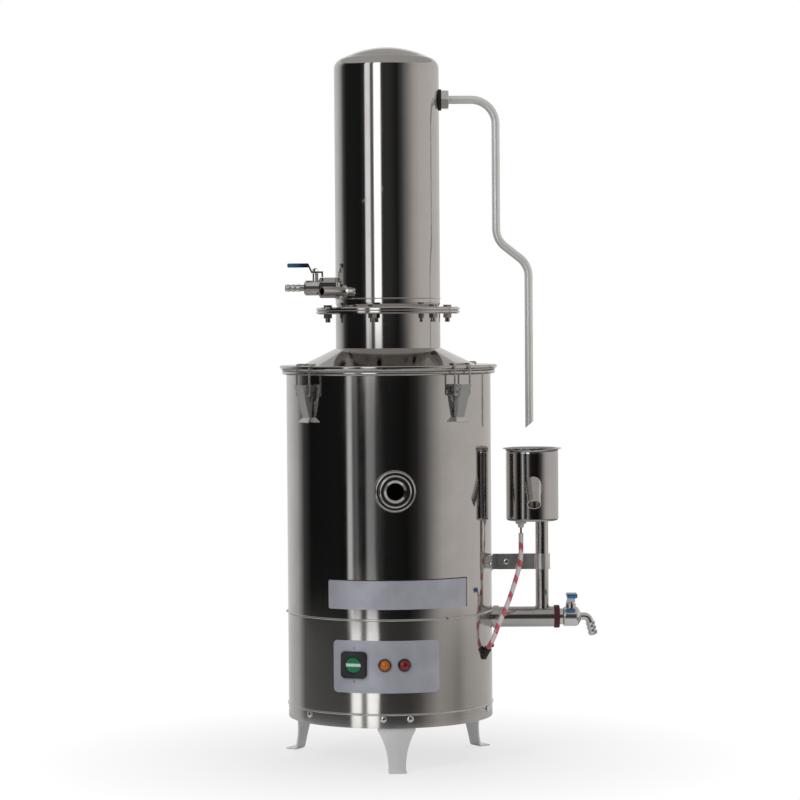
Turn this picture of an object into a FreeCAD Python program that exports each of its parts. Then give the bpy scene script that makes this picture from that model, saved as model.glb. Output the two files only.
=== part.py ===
import FreeCAD, Part
import math
import os

from FreeCAD import Vector

# Electric water still in stainless steel sheet. Lengths are in millimetres and angles in degrees.
# +Z is up, the axis of boiler and column is the Z axis, and the feet stand on Z = 0. Azimuth is
# measured about Z from the front, which is -Y, and grows towards the right, which is +X.

# Sheet and general clearances
SHEET = 1.0
HEAVY_SHEET = 1.2
FIT = 0.3
RUNNING = 0.05

# Base
BODY_R = 125.0
FOOT_H = 51.0
BASE_H = 129.6
BASE_FLOOR_RISE = 16.2
BEAD_R = 1.3
FLOOR_FLANGE_H = 14.0
FOOT_AZIMUTH = 3.5
FOOT_TAB_H = 17.0
FOOT_SHEET = 1.8
FOOT_TOP_W = 45.0
FOOT_TOE_W = 21.0
FOOT_TOE_OUT = 17.0
FOOT_PAD = 14.0
FOOT_BEND = 1.5
FOOT_WAIST = 2.2
SCREW_R = 1.9
SCREW_HEAD_R = 3.85
SCREW_HEAD_H = 2.2
SCREW_LEN = 8.5
SCREW_RISE = 11.0
SCREW_RIM = 0.8
FOOT_SCREW_ANGLE = 14.6
FLOOR_SCREW_ANGLE = 66.0

# Control panel
PANEL_AZIMUTHS = (-32.0, 27.6)
PANEL_BOTTOM = 42.0
PANEL_H = 62.0
PANEL_CORNER = 5.0
PLATE_T = 1.0
CONTROL_RISE = 75.3
SWITCH_AZIMUTH = -19.7
SWITCH_W = 32.0
SWITCH_BODY_W = 27.0
SWITCH_PROUD = 3.6
SWITCH_DEPTH = 22.0
SWITCH_CORNER = 5.0
ROCKER_R = 9.3
ROCKER_T = 5.0
ROCKER_WELL = 9.0
ROCKER_TILT = 8.0
LAMP_AZIMUTHS = {"amber_lamp": -2.8, "red_lamp": 7.7}
LAMP_FLANGE_R = 7.75
LAMP_LENS_R = 6.4
LAMP_BODY_R = 5.5
LAMP_DEPTH = 20.0
LAMP_PROUD = 5.5

# Entries in the base
GLAND_AZIMUTH = 180.0
GLAND_RISE = 44.0
GLAND_AF = 22.0
GLAND_THREAD_R = 8.0
GLAND_BORE_R = 4.5
GLAND_OUT = 18.0
GLAND_IN = 9.0
LEAD_AZIMUTH = 65.0
LEAD_RISE = 79.0
GROMMET_R = 6.5
GROMMET_NECK_R = 4.0
GROMMET_LIFT = 56.0
GROMMET_LEN = 9.0
BLOCK_SIZE = (52.0, 24.0, 20.0)
BLOCK_Y = 62.0

# Boiler
POT_H = 293.4
POT_DEPTH_IN_BASE = 27.6
POT_CORNER = 10.0
RIM_H = 5.4
RIM_OUT = 5.5
GLASS_AZIMUTH = 3.3
GLASS_RISE = 151.4
GLASS_FRAME_R = 24.0
GLASS_FRAME_OUT = 7.0
GLASS_SEAT_R = 19.6
GLASS_SEAT_DEPTH = 4.0
GLASS_RING_OUT = 10.5
GLASS_DISC_R = 14.0
GLASS_DISC_T = 3.0
GLASS_VIEW_R = 10.5
PLATE_AZIMUTHS = (-35.0, 46.5)
PLATE_RISE = 11.4
PLATE_H = 34.0
PLATE_CORNER = 2.0
HEATER_WALL_GAP = 43.0
HEATER_R = 5.0
HEATER_RISE = 21.0
HEATER_OPEN_ANGLE = 40.0
HEATER_NUT_R = 9.0
HEATER_NUT_H = 5.0
HEATER_PIN = 14.0

# Lid
LID_GASKET_H = 4.8
LID_OUT = 8.0
LID_EDGE_H = 4.2
LID_EDGE_T = 2.4
LID_LEDGE = 19.0
CONE_H = 20.5
NECK_H = 41.5

# Condenser column
COLUMN_R = 64.0
FLANGE_R = 88.0
FLANGE_T = 3.5
FLANGE_GASKET_T = 1.3
FLANGE_CHAMFER = 1.5
BOLT_PCD = 152.0
BOLT_COUNT = 6
BOLT_AZIMUTH = -14.0
BOLT_R = 3.0
BOLT_HOLE_R = 3.3
BOLT_HEAD_AF = 10.0
BOLT_HEAD_H = 2.8
BOLT_TAIL = 10.0
BOLT_NUT_H = 5.0
SHELL_H = 273.2
SHELL_FOOT_IN = 2.2
CAP_H = 47.0
CAP_SKIRT = 20.0
CAP_SPIGOT = 8.0
CAP_KNUCKLE = 10.2
CAP_CROWN_H = 13.2
TRAY_T = 1.5
CHIMNEY_R = 18.0
CHIMNEY_H = 44.0
HEADER_R = 52.0
HEADER_HOLE_R = 20.0
HEADER_H = 17.0
TUBE_COUNT = 8
TUBE_R = 6.0
TUBE_CIRCLE_R = 36.0
NOZZLE_AZIMUTH = -54.6
NOZZLE_RISE = 19.2
NOZZLE_R = 5.5
NOZZLE_BORE_R = 4.3
NOZZLE_LEN = 33.0
NOZZLE_WELD = 2.0

# Ball valves: one pattern of body, stem and lever serves the inlet and the drain
INLET_RISE = 24.3
STUB_R = 6.0
STUB_BORE_R = 4.0
COUPLING_AF = 21.7
COUPLING_LEN = 20.2
VALVE_R = 9.3
VALVE_LEN = 21.9
VALVE_SOCKET = 3.7
VALVE_BORE_R = 3.6
BALL_R = 6.0
STEM_R = 1.9
STEM_OFFSET = 8.0
GLAND_BOSS_R = 3.7
GLAND_BOSS_H = 8.5
LEVER_T = 2.0
LEVER_W = 10.0
LEVER_HUB = 5.0
LEVER_LIFT = 8.4
LEVER_RUN = 4.0
LEVER_BEND = 1.2
LEVER_REACH = 33.0
LEVER_TAB_OUT = 9.5
LEVER_TAB_H = 5.0
LEVER_NUT_AF = 7.0
LEVER_NUT_H = 3.0
SLEEVE_T = 1.5
SLEEVE_LEN = 25.0
BARB_LEN = 23.3
BARB_R = 4.0
BARB_CREST_R = 4.9
BARB_BORE_R = 2.8
BARB_COUNT = 3
BARB_PITCH = 6.4
BARB_LAND = 2.4
BARB_TIP = 1.0

# Cooling water return
RETURN_DROP = 17.0
WASHER_R = 13.0
WASHER_T = 2.8
RETURN_NUT_AF = 22.0
RETURN_NUT_LEN = 9.0
RETURN_R = 5.0
RETURN_BORE_R = 4.0
RETURN_REACH = 69.0
RETURN_BEND_R = 30.0
RETURN_S_TOP = 171.0
RETURN_S_H = 31.0
RETURN_S_R = 28.0
RETURN_END_GAP = 24.4
RETURN_CUP_OFFSET = 3.0

# Filling side
FEED_DROP = 11.1
FEED_R = 12.5
FEED_BORE_R = 10.5
FEED_LEN = 76.0
FEED_COLLAR_R = 14.0
FEED_COLLAR_LEN = 9.0
FEED_END_T = 6.0
RISER_OUT = 61.8
RISER_R = 8.0
RISER_BORE_R = 6.6
RISER_H = 118.5
CUP_OFFSET = 11.5
CUP_R = 32.15
CUP_H = 89.0
CUP_LIP_OUT = 3.9
CUP_LIP_H = 6.0
CUP_CORNER = 3.0
SPOUT_R = 8.5
SPOUT_BORE_R = 7.4
SPOUT_RISE = 39.5
SPOUT_ANGLE = 45.0
SPOUT_LEN = 24.0
SPOUT_ROOT_R = 9.9
SPOUT_TAPER = 13.0
SPOUT_BACK = 14.0
ELECTRODE_OFFSET = 14.0
ELECTRODE_R = 2.0
ELECTRODE_UP = 55.0
ELECTRODE_NUT_AF = 13.0
ELECTRODE_NUT_H = 4.0
ELECTRODE_TAIL_R = 4.4
ELECTRODE_TAIL_H = 5.0
BRACKET_RISE = 57.0
BRACKET_H = 19.0
BRACKET_T = 2.0
BRACKET_LEG = 27.0
BRACKET_FOOT_SPAN = 22.0
STRAP_T = 2.0
STRAP_START = 8.0

# Drain valve
DRAIN_GASKET_R = 14.0
DRAIN_GASKET_T = 7.0
DRAIN_LEN = 26.0
DRAIN_BODY_R = 12.0
DRAIN_END_R = 9.9
DRAIN_COLLAR = 4.0
DRAIN_BOSS_R = 6.4
DRAIN_SPIGOT_R = 6.4
DRAIN_NECK_R = 4.6
DRAIN_TAIL_R = 5.0
DRAIN_CREST_R = 6.2
DRAIN_PITCH = 5.6
DRAIN_OUT = 9.8
DRAIN_DROP = 22.5
DRAIN_LEAN_ANGLE = 14.0
DRAIN_BEND_R = 8.0

# Sensor lead: a sleeved lead from the electrode to the grommet, as its route's points
LEAD_R = 3.0
LEAD_LIMP_DIAMETERS = 3.0

# Latches
LATCH_AZIMUTHS = {"1": -49.0, "2": 41.0, "3": 131.0, "4": -139.0}
WIRE_R = 1.3
BAIL_HALF_W = 12.0
BAIL_DROP = 29.0
BAIL_HOOK_IN = 10.0
BAIL_BEND_R = 2.6
PIVOT_OUT = 1.6
PIVOT_UP = 7.5
PIVOT_R = 1.5
LATCH_SHEET = 1.2
LATCH_TOP_UP = 5.0
LATCH_LEN = 39.5
LATCH_TOP_W = 15.0
LATCH_TOE_W = 12.0
LATCH_TOP_OUT = 17.2
LATCH_TOE_OUT = 5.5
LATCH_SIDE_IN = 4.5
LIP_LEN = 5.0
LIP_OUT = 5.0
LIP_W = 20.0
EAR_Y = 4.0
EAR_R = 3.0
BASE_PLATE_T = 1.5
BASE_PLATE_H = 30.0
BASE_PLATE_W = 10.4
PIN_HEAD = 0.9

# Heights that follow from the stack of pieces
Z_BASE = FOOT_H
Z_FLOOR = Z_BASE + BASE_FLOOR_RISE
Z_BASE_TOP = Z_BASE + BASE_H
Z_POT_FLOOR = Z_BASE_TOP - POT_DEPTH_IN_BASE
Z_RIM = Z_BASE_TOP + POT_H
Z_LID_SEAT = Z_RIM + LID_GASKET_H
Z_LID_TOP = Z_LID_SEAT + HEAVY_SHEET
Z_CONE_TOP = Z_LID_TOP + CONE_H
Z_LOWER_FLANGE = Z_CONE_TOP + NECK_H
Z_FLANGE_GASKET = Z_LOWER_FLANGE + FLANGE_T
Z_UPPER_FLANGE = Z_FLANGE_GASKET + FLANGE_GASKET_T
Z_FLANGE_TOP = Z_UPPER_FLANGE + FLANGE_T
Z_SHELL_TOP = Z_UPPER_FLANGE + SHELL_H
Z_CAP_TOP = Z_SHELL_TOP + CAP_H
Z_CONTROLS = Z_BASE + CONTROL_RISE
Z_SCREWS = Z_BASE + SCREW_RISE
Z_INLET = Z_FLANGE_TOP + INLET_RISE
Z_NOZZLE = Z_FLANGE_TOP + NOZZLE_RISE
Z_RETURN = Z_SHELL_TOP - RETURN_DROP
Z_FEED = Z_BASE_TOP - FEED_DROP
Z_CUP = Z_FEED + RISER_H
Z_CUP_TOP = Z_CUP + CUP_H
Z_ELECTRODE_END = Z_CUP - ELECTRODE_NUT_H - ELECTRODE_TAIL_H
Z_LEDGE = Z_FLANGE_TOP + 6.7

# Radii and places that follow from them
POT_LOWER_R = BODY_R - SHEET - FIT
FOOT_TOE_R = BODY_R + FOOT_TOE_OUT
HEATER_LOOP_R = BODY_R - HEATER_WALL_GAP
LID_R = BODY_R + LID_OUT
CONE_R = BODY_R - LID_LEDGE
PANEL_R = BODY_R + FIT + PLATE_T
NECK_IN_R = COLUMN_R - HEAVY_SHEET
FEED_END_X = BODY_R + FEED_LEN
RISER_X = BODY_R + RISER_OUT
CUP_X = RISER_X - CUP_OFFSET
ELECTRODE_X = CUP_X - ELECTRODE_OFFSET
INLET_STEM_X = -(COLUMN_R + COUPLING_LEN - VALVE_SOCKET + STEM_OFFSET)
DRAIN_X = FEED_END_X + DRAIN_GASKET_T
DRAIN_STEM_X = DRAIN_X + DRAIN_LEN / 2 + 1.0
BAIL_X = LID_R + FIT + WIRE_R
BAIL_Z = Z_RIM - BAIL_DROP
PIVOT_X = BAIL_X + PIVOT_OUT
PIVOT_Z = BAIL_Z + PIVOT_UP

ORIGIN = Vector(0, 0, 0)
X_AXIS = Vector(1, 0, 0)
Y_AXIS = Vector(0, 1, 0)
Z_AXIS = Vector(0, 0, 1)


def at_azimuth(shape, azimuth):
    """Turns a shape made pointing along +X so that it points along the azimuth."""
    return shape.rotated(ORIGIN, Z_AXIS, azimuth - 90)


def outward(azimuth):
    """Unit vector that points away from the axis at the azimuth."""
    angle = math.radians(azimuth)
    return Vector(math.sin(angle), -math.cos(angle), 0)


def closed_wire(to_space, start, steps):
    """Joins flat points into a closed wire. A step is a corner, or a point on an arc and the arc's end."""
    edges = []
    here = start
    for step in steps:
        if isinstance(step[0], tuple):
            through, there = step
            edges.append(Part.Arc(to_space(here), to_space(through), to_space(there)).toShape())
        else:
            there = step
            edges.append(Part.makeLine(to_space(here), to_space(there)))
        here = there
    edges.append(Part.makeLine(to_space(here), to_space(start)))
    return Part.Wire(edges)


def outside_out(solid):
    """Turns a solid's faces outwards where they came out inwards."""
    return solid.reversed() if solid.Volume < 0 else solid


def dome_through(r, rise):
    """Point half way out on a round dome: its radius, and its height over the dome's foot."""
    ball_r = (r * r + rise * rise) / (2 * rise)
    return r / 2, rise - ball_r + math.sqrt(ball_r * ball_r - r * r / 4)


def turned(start, *steps):
    """Solid of revolution about Z from an outline in radius and height."""
    face = Part.Face(closed_wire(lambda p: Vector(p[0], 0, p[1]), start, steps))
    return outside_out(face.revolve(ORIGIN, Z_AXIS, 360))


def turned_along_x(z, start, *steps):
    """Solid of revolution about the horizontal line at height z from an outline in x and radius."""
    face = Part.Face(closed_wire(lambda p: Vector(p[0], 0, p[1]), start, steps))
    return outside_out(face.revolve(ORIGIN, X_AXIS, 360)).translated(Vector(0, 0, z))


def side_plate(y0, y1, start, *steps):
    """Plate with an outline in x and z, from y0 to y1."""
    face = Part.Face(closed_wire(lambda p: Vector(p[0], y0, p[1]), start, steps))
    return face.extrude(Vector(0, y1 - y0, 0))


def front_plate(x0, x1, start, *steps):
    """Plate with an outline in y and z, from x0 to x1."""
    face = Part.Face(closed_wire(lambda p: Vector(x0, p[0], p[1]), start, steps))
    return face.extrude(Vector(x1 - x0, 0, 0))


def disc(r, z0, z1, x=0.0, y=0.0):
    """Upright cylinder between two heights."""
    return Part.makeCylinder(r, z1 - z0, Vector(x, y, z0))


def ring(r_out, r_in, z0, z1, x=0.0):
    """Upright tube between two heights."""
    return disc(r_out, z0, z1, x).cut(disc(r_in, z0, z1, x))


def bar(r, x0, x1, z):
    """Cylinder along X at height z."""
    return Part.makeCylinder(r, x1 - x0, Vector(x0, 0, z), X_AXIS)


def block(x0, x1, y0, y1, z0, z1):
    """Box between two corners."""
    return Part.makeBox(x1 - x0, y1 - y0, z1 - z0, Vector(x0, y0, z0))


def hexagon(across_flats, length, axis, corner_up=False):
    """Hexagonal prism from the origin along an axis, with a corner or a flat towards the second direction."""
    corner_r = across_flats / math.sqrt(3)
    turn = 0 if corner_up else 30
    corners = []
    for step in range(7):
        angle = math.radians(60 * step + turn)
        a = corner_r * math.cos(angle)
        b = corner_r * math.sin(angle)
        corners.append(Vector(0, b, a) if axis == X_AXIS else Vector(a, b, 0))
    return Part.Face(Part.makePolygon(corners)).extrude(axis * length)


def rounded_block(x0, x1, width, z0, z1, corner):
    """Box centred on y = 0 with its four edges along X rounded."""
    shape = block(x0, x1, -width / 2, width / 2, z0, z1)
    long_edges = [e for e in shape.Edges if abs(e.tangentAt(e.FirstParameter).x) > 0.9]
    return shape.makeFillet(corner, long_edges)


def wall_plate(azimuths, z0, height, corner, thickness):
    """Thin plate glued to the body's wall between two azimuths, with rounded corners."""
    half_turn = (azimuths[1] - azimuths[0]) / 2
    middle = (azimuths[1] + azimuths[0]) / 2
    back_r = BODY_R + FIT
    half_w = (back_r + thickness) * math.sin(math.radians(half_turn))
    cutter = rounded_block(0.0, BODY_R + 10, 2 * half_w, z0, z0 + height, corner)
    plate = ring(back_r + thickness, back_r, z0, z0 + height).common(cutter)
    return at_azimuth(plate, middle)


def cut_all(shape, cutters):
    """Cuts every cutter from the shape."""
    for cutter in cutters:
        shape = shape.cut(cutter)
    return shape


def fused(shapes):
    """Fuses shapes that are welded or made in one piece."""
    whole = shapes[0]
    for shape in shapes[1:]:
        whole = whole.fuse(shape)
    return whole.removeSplitter()


def tube_along(points, radii, radius):
    """Solid tube of straight runs joined by tangent arcs, one radius for each inner point."""
    edges = []
    here = points[0]
    for before, corner, after, bend in zip(points, points[1:], points[2:], radii):
        come = (before - corner).normalize()
        go = (after - corner).normalize()
        half = (math.pi - come.getAngle(go)) / 2
        reach = bend * math.tan(half)
        start = corner + come * reach
        end = corner + go * reach
        middle = (come + go).normalize()
        through = corner + middle * (bend / math.cos(half) - bend)
        edges.append(Part.makeLine(here, start))
        edges.append(Part.Arc(start, through, end).toShape())
        here = end
    edges.append(Part.makeLine(here, points[-1]))
    spine = Part.Wire(edges)
    way = points[1] - points[0]
    section = Part.Wire([Part.makeCircle(radius, points[0], way)])
    return spine.makePipeShell([section], True, False)


def screw_places():
    """Azimuths of the screws round the bottom of the base: two in each foot, one between each two feet."""
    places = []
    for turn in (0, 120, 240):
        foot = FOOT_AZIMUTH + turn
        places += [foot - FOOT_SCREW_ANGLE / 2, foot + FOOT_SCREW_ANGLE / 2, foot + FLOOR_SCREW_ANGLE]
    return places


def screw_holes():
    """Clearance for every screw shank at the bottom of the base."""
    hole = bar(SCREW_R + RUNNING, BODY_R - 12, BODY_R + 3, Z_SCREWS)
    return [at_azimuth(hole, azimuth) for azimuth in screw_places()]


def base_shell():
    """Cylindrical skirt with a bead over the floor, a bead at its top and its openings."""
    top_bead = Z_BASE_TOP - BEAD_R
    shell = turned(
        (BODY_R - SHEET, Z_BASE),
        (BODY_R, Z_BASE),
        (BODY_R, Z_FLOOR - BEAD_R),
        ((BODY_R + BEAD_R, Z_FLOOR), (BODY_R, Z_FLOOR + BEAD_R)),
        (BODY_R, top_bead - BEAD_R),
        ((BODY_R + BEAD_R, top_bead), (BODY_R, Z_BASE_TOP)),
        (BODY_R - SHEET, Z_BASE_TOP),
    )
    switch_w = SWITCH_BODY_W + 2 * FIT
    switch_low = Z_CONTROLS - switch_w / 2
    inner = BODY_R - 25
    outer = BODY_R + 5
    switch_hole = block(inner, outer, -switch_w / 2, switch_w / 2, switch_low, switch_low + switch_w)
    openings = [
        at_azimuth(switch_hole, SWITCH_AZIMUTH),
        at_azimuth(bar(GROMMET_NECK_R + RUNNING, inner, outer, Z_BASE + LEAD_RISE), LEAD_AZIMUTH),
        at_azimuth(bar(GLAND_THREAD_R + RUNNING, inner, outer, Z_BASE + GLAND_RISE), GLAND_AZIMUTH),
        bar(FEED_R + FIT, inner, outer, Z_FEED),
        block(inner, outer, -FEED_R - FIT, FEED_R + FIT, Z_FEED, Z_BASE_TOP + 5),
    ]
    for azimuth in LAMP_AZIMUTHS.values():
        openings.append(at_azimuth(bar(LAMP_BODY_R + FIT, inner, outer, Z_CONTROLS), azimuth))
    return cut_all(shell, openings + screw_holes())


def base_floor():
    """Floor disc of the electrics space, with a flange turned down inside the skirt."""
    r = BODY_R - SHEET - FIT
    under = Z_FLOOR - HEAVY_SHEET
    dish = turned(
        (0, under),
        (r - HEAVY_SHEET, under),
        (r - HEAVY_SHEET, Z_FLOOR - FLOOR_FLANGE_H),
        (r, Z_FLOOR - FLOOR_FLANGE_H),
        (r, Z_FLOOR),
        (0, Z_FLOOR),
    )
    return cut_all(dish, screw_holes())


def foot(azimuth):
    """Bent sheet foot: a tab inside the floor's flange, a leg that sweeps outwards and a pad on the bench."""
    tab_r = BODY_R - SHEET - 2 * FIT - HEAVY_SHEET
    inner_r = tab_r - FOOT_SHEET
    knee = Z_BASE - 2 * FOOT_BEND
    toe_in = FOOT_TOE_R - FOOT_PAD
    leg = turned(
        (inner_r, knee),
        ((inner_r + FOOT_BEND, knee / 2 + FOOT_WAIST), (toe_in - FOOT_SHEET, FOOT_SHEET)),
        (toe_in, 0),
        (FOOT_TOE_R - FOOT_BEND, 0),
        ((FOOT_TOE_R, FOOT_SHEET / 2), (FOOT_TOE_R - FOOT_SHEET / 2, FOOT_SHEET)),
        (toe_in + FOOT_SHEET / 2, FOOT_SHEET),
        ((tab_r + FOOT_BEND, knee / 2 + FOOT_WAIST), (tab_r, knee)),
        (tab_r, knee + FOOT_TAB_H),
        (inner_r, knee + FOOT_TAB_H),
    )
    top = FOOT_TOP_W / 2
    toe = FOOT_TOE_W / 2
    front = front_plate(
        inner_r / 2,
        FOOT_TOE_R + FOOT_PAD,
        (-top, knee + FOOT_TAB_H + 1),
        (-top, knee),
        ((-toe - FOOT_WAIST, knee / 2), (-toe, 0)),
        (toe, 0),
        ((toe + FOOT_WAIST, knee / 2), (top, knee)),
        (top, knee + FOOT_TAB_H + 1),
    )
    return cut_all(at_azimuth(leg.common(front), azimuth), screw_holes())


def base_screws():
    """Pan head screws round the bottom of the base."""
    head_x = BODY_R
    tip = BODY_R - SCREW_LEN
    dome_x = head_x + SCREW_RIM
    through_r, through_rise = dome_through(SCREW_HEAD_R, SCREW_HEAD_H - SCREW_RIM)
    screw = turned_along_x(
        Z_SCREWS,
        (tip, 0),
        (tip, SCREW_R),
        (head_x, SCREW_R),
        (head_x, SCREW_HEAD_R),
        (dome_x, SCREW_HEAD_R),
        ((dome_x + through_rise, through_r), (head_x + SCREW_HEAD_H, 0)),
    )
    return Part.makeCompound([at_azimuth(screw, azimuth) for azimuth in screw_places()])


def control_panel():
    """Curved panel on the base with holes for the switch and the two lamps."""
    panel = wall_plate(PANEL_AZIMUTHS, Z_BASE + PANEL_BOTTOM, PANEL_H, PANEL_CORNER, PLATE_T)
    w = SWITCH_BODY_W + 2 * FIT
    low = Z_CONTROLS - w / 2
    holes = [at_azimuth(block(BODY_R - 10, BODY_R + 9, -w / 2, w / 2, low, low + w), SWITCH_AZIMUTH)]
    for azimuth in LAMP_AZIMUTHS.values():
        holes.append(at_azimuth(bar(LAMP_BODY_R + FIT, BODY_R - 10, BODY_R + 9, Z_CONTROLS), azimuth))
    return cut_all(panel, holes)


def switch_housing():
    """Square bezel with rounded corners, a body behind the panel and a round well for the rocker."""
    face_x = PANEL_R + SWITCH_PROUD
    low = Z_CONTROLS - SWITCH_W / 2
    bezel = rounded_block(PANEL_R - 4, face_x, SWITCH_W, low, low + SWITCH_W, SWITCH_CORNER)
    front_edges = [e for e in bezel.Edges if min(v.X for v in e.Vertexes) > face_x - 0.01]
    bezel = bezel.makeChamfer(0.8, front_edges)
    bezel = bezel.cut(disc(PANEL_R, Z_BASE, Z_BASE_TOP))
    half = SWITCH_BODY_W / 2
    body = block(BODY_R - SWITCH_DEPTH, PANEL_R + 1, -half, half, Z_CONTROLS - half, Z_CONTROLS + half)
    well = bar(ROCKER_R + 2 * FIT, face_x - ROCKER_WELL, face_x + 1, Z_CONTROLS)
    return at_azimuth(fused([bezel, body]).cut(well), SWITCH_AZIMUTH)


def rocker_centre():
    """Distance of the rocker's hinge line from the axis."""
    return PANEL_R + SWITCH_PROUD - ROCKER_T / 2 + 0.6


def switch_rocker():
    """Round rocker with a hollow face, tipped to its off side."""
    x = rocker_centre()
    half = ROCKER_T / 2
    button = bar(ROCKER_R, x - half, x + half, Z_CONTROLS)
    rim = [e for e in button.Edges if e.Closed and e.BoundBox.XMin > x]
    button = button.makeChamfer(0.6, rim)
    hollow_r = 30.0
    hollow = Part.makeCylinder(hollow_r, 60, Vector(x + half + hollow_r - 1.3, -30, Z_CONTROLS), Y_AXIS)
    button = button.cut(hollow)
    button = button.rotated(Vector(x, 0, Z_CONTROLS), Y_AXIS, ROCKER_TILT)
    return at_azimuth(button, SWITCH_AZIMUTH)


def lamp(azimuth):
    """Signal lamp: domed lens on a flange, with a round body behind the panel."""
    x = PANEL_R
    dome_x = x + 3.2
    through_r, through_rise = dome_through(LAMP_LENS_R, LAMP_PROUD - 3.2)
    shape = turned_along_x(
        Z_CONTROLS,
        (BODY_R - LAMP_DEPTH, 0),
        (BODY_R - LAMP_DEPTH, LAMP_BODY_R),
        (x - 1, LAMP_BODY_R),
        (x - 1, LAMP_FLANGE_R),
        (x + 1.6, LAMP_FLANGE_R),
        (x + 2.2, LAMP_FLANGE_R - 0.7),
        (x + 2.2, LAMP_LENS_R),
        (dome_x, LAMP_LENS_R),
        ((dome_x + through_rise, through_r), (x + LAMP_PROUD, 0)),
    )
    seat = ring(PANEL_R, BODY_R - SHEET - 3, Z_CONTROLS - 20, Z_CONTROLS + 20)
    shape = shape.cut(seat.cut(bar(LAMP_BODY_R, BODY_R - 30, PANEL_R + 9, Z_CONTROLS)))
    return at_azimuth(shape, azimuth)


def grommet_tip():
    """Where the lead enters the grommet's nipple, and the direction of the nipple."""
    lift = math.radians(GROMMET_LIFT)
    way = outward(LEAD_AZIMUTH) * math.cos(lift) + Z_AXIS * math.sin(lift)
    root = outward(LEAD_AZIMUTH) * (BODY_R + 0.5) + Vector(0, 0, Z_BASE + LEAD_RISE)
    return root + way * GROMMET_LEN, way


def lead_grommet():
    """Rubber grommet with a flange on the wall and a nipple that points up along the lead."""
    z = Z_BASE + LEAD_RISE
    flange = bar(GROMMET_R, BODY_R - 4, BODY_R + 2.2, z).cut(disc(BODY_R, Z_BASE, Z_BASE_TOP))
    neck = bar(GROMMET_NECK_R, BODY_R - SHEET - 3, BODY_R + 1, z)
    tip, way = grommet_tip()
    nipple_r = LEAD_R + 1.6
    start = tip - way * GROMMET_LEN
    nipple = Part.makeCylinder(nipple_r, GROMMET_LEN, start, way)
    outside = nipple.cut(disc(BODY_R, Z_BASE, Z_BASE_TOP))
    return fused([at_azimuth(fused([flange, neck]), LEAD_AZIMUTH), outside])


def mains_gland():
    """Cable gland at the back of the base, with no cable in it."""
    z = Z_BASE + GLAND_RISE
    body = hexagon(GLAND_AF, 9.0, X_AXIS).translated(Vector(BODY_R - 2, 0, z))
    body = body.cut(disc(BODY_R, Z_BASE, Z_BASE_TOP))
    dome = turned_along_x(
        z,
        (BODY_R + 6, 0),
        (BODY_R + 6, GLAND_AF / 2 - 0.5),
        (BODY_R + GLAND_OUT - 5, GLAND_AF / 2 - 0.5),
        ((BODY_R + GLAND_OUT - 1.5, GLAND_AF / 2 - 2.2), (BODY_R + GLAND_OUT, GLAND_AF / 2 - 4.5)),
        (BODY_R + GLAND_OUT, 0),
    )
    thread = bar(GLAND_THREAD_R, BODY_R - SHEET - GLAND_IN, BODY_R + 7, z)
    nut = hexagon(GLAND_AF, 4.0, X_AXIS).translated(Vector(BODY_R - SHEET - FIT - 6, 0, z))
    gland = fused([body, dome, thread, nut])
    bore = bar(GLAND_BORE_R, BODY_R - 30, BODY_R + GLAND_OUT + 1, z)
    return at_azimuth(gland.cut(bore), GLAND_AZIMUTH)


def terminal_block():
    """Ceramic terminal block that stands on the floor of the base."""
    length, width, height = BLOCK_SIZE
    shape = block(-length / 2, length / 2, BLOCK_Y, BLOCK_Y + width, Z_FLOOR, Z_FLOOR + height)
    ways = 4
    pitch = length / ways
    for way in range(ways):
        x = -length / 2 + pitch * (way + 0.5)
        well = Part.makeCylinder(3.2, width + 2, Vector(x, BLOCK_Y - 1, Z_FLOOR + 8), Y_AXIS)
        shape = shape.cut(well)
    return shape


def heater_ends():
    """Places of the heating element's two upright legs."""
    ends = []
    for side in (-1, 1):
        angle = math.radians(90 + side * HEATER_OPEN_ANGLE / 2)
        ends.append((HEATER_LOOP_R * math.cos(angle), HEATER_LOOP_R * math.sin(angle)))
    return ends


def boiler_pot():
    """Deep vessel: its lower end is swaged in to sit inside the base, its rim is rolled outwards."""
    low_r = POT_LOWER_R
    low_in = low_r - SHEET
    wall_in = BODY_R - SHEET
    half_rim = RIM_H / 2
    rim_r = BODY_R + RIM_OUT
    bow = POT_CORNER * (1 - math.sqrt(0.5))
    in_corner = POT_CORNER - SHEET
    in_bow = in_corner * (1 - math.sqrt(0.5))
    floor_top = Z_POT_FLOOR + SHEET
    shell = turned(
        (0, Z_POT_FLOOR),
        (low_r - POT_CORNER, Z_POT_FLOOR),
        ((low_r - bow, Z_POT_FLOOR + bow), (low_r, Z_POT_FLOOR + POT_CORNER)),
        (low_r, Z_BASE_TOP),
        (BODY_R, Z_BASE_TOP),
        (BODY_R, Z_RIM - RIM_H),
        (rim_r - half_rim, Z_RIM - RIM_H),
        ((rim_r, Z_RIM - half_rim), (rim_r - half_rim, Z_RIM)),
        (wall_in, Z_RIM),
        (wall_in, Z_BASE_TOP + 2 * SHEET),
        (low_in, Z_BASE_TOP + SHEET),
        (low_in, floor_top + in_corner),
        ((low_in - in_bow, floor_top + in_bow), (low_in - in_corner, floor_top)),
        (0, floor_top),
    )
    window = bar(GLASS_VIEW_R, BODY_R - POT_CORNER, BODY_R + SHEET, Z_BASE_TOP + GLASS_RISE)
    cutters = [
        at_azimuth(window, GLASS_AZIMUTH),
        bar(FEED_R, BODY_R - POT_CORNER, BODY_R + SHEET, Z_FEED),
    ]
    for x, y in heater_ends():
        cutters.append(disc(HEATER_R, Z_POT_FLOOR - 2, floor_top + 2, x, y))
    return cut_all(shell, cutters)


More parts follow.
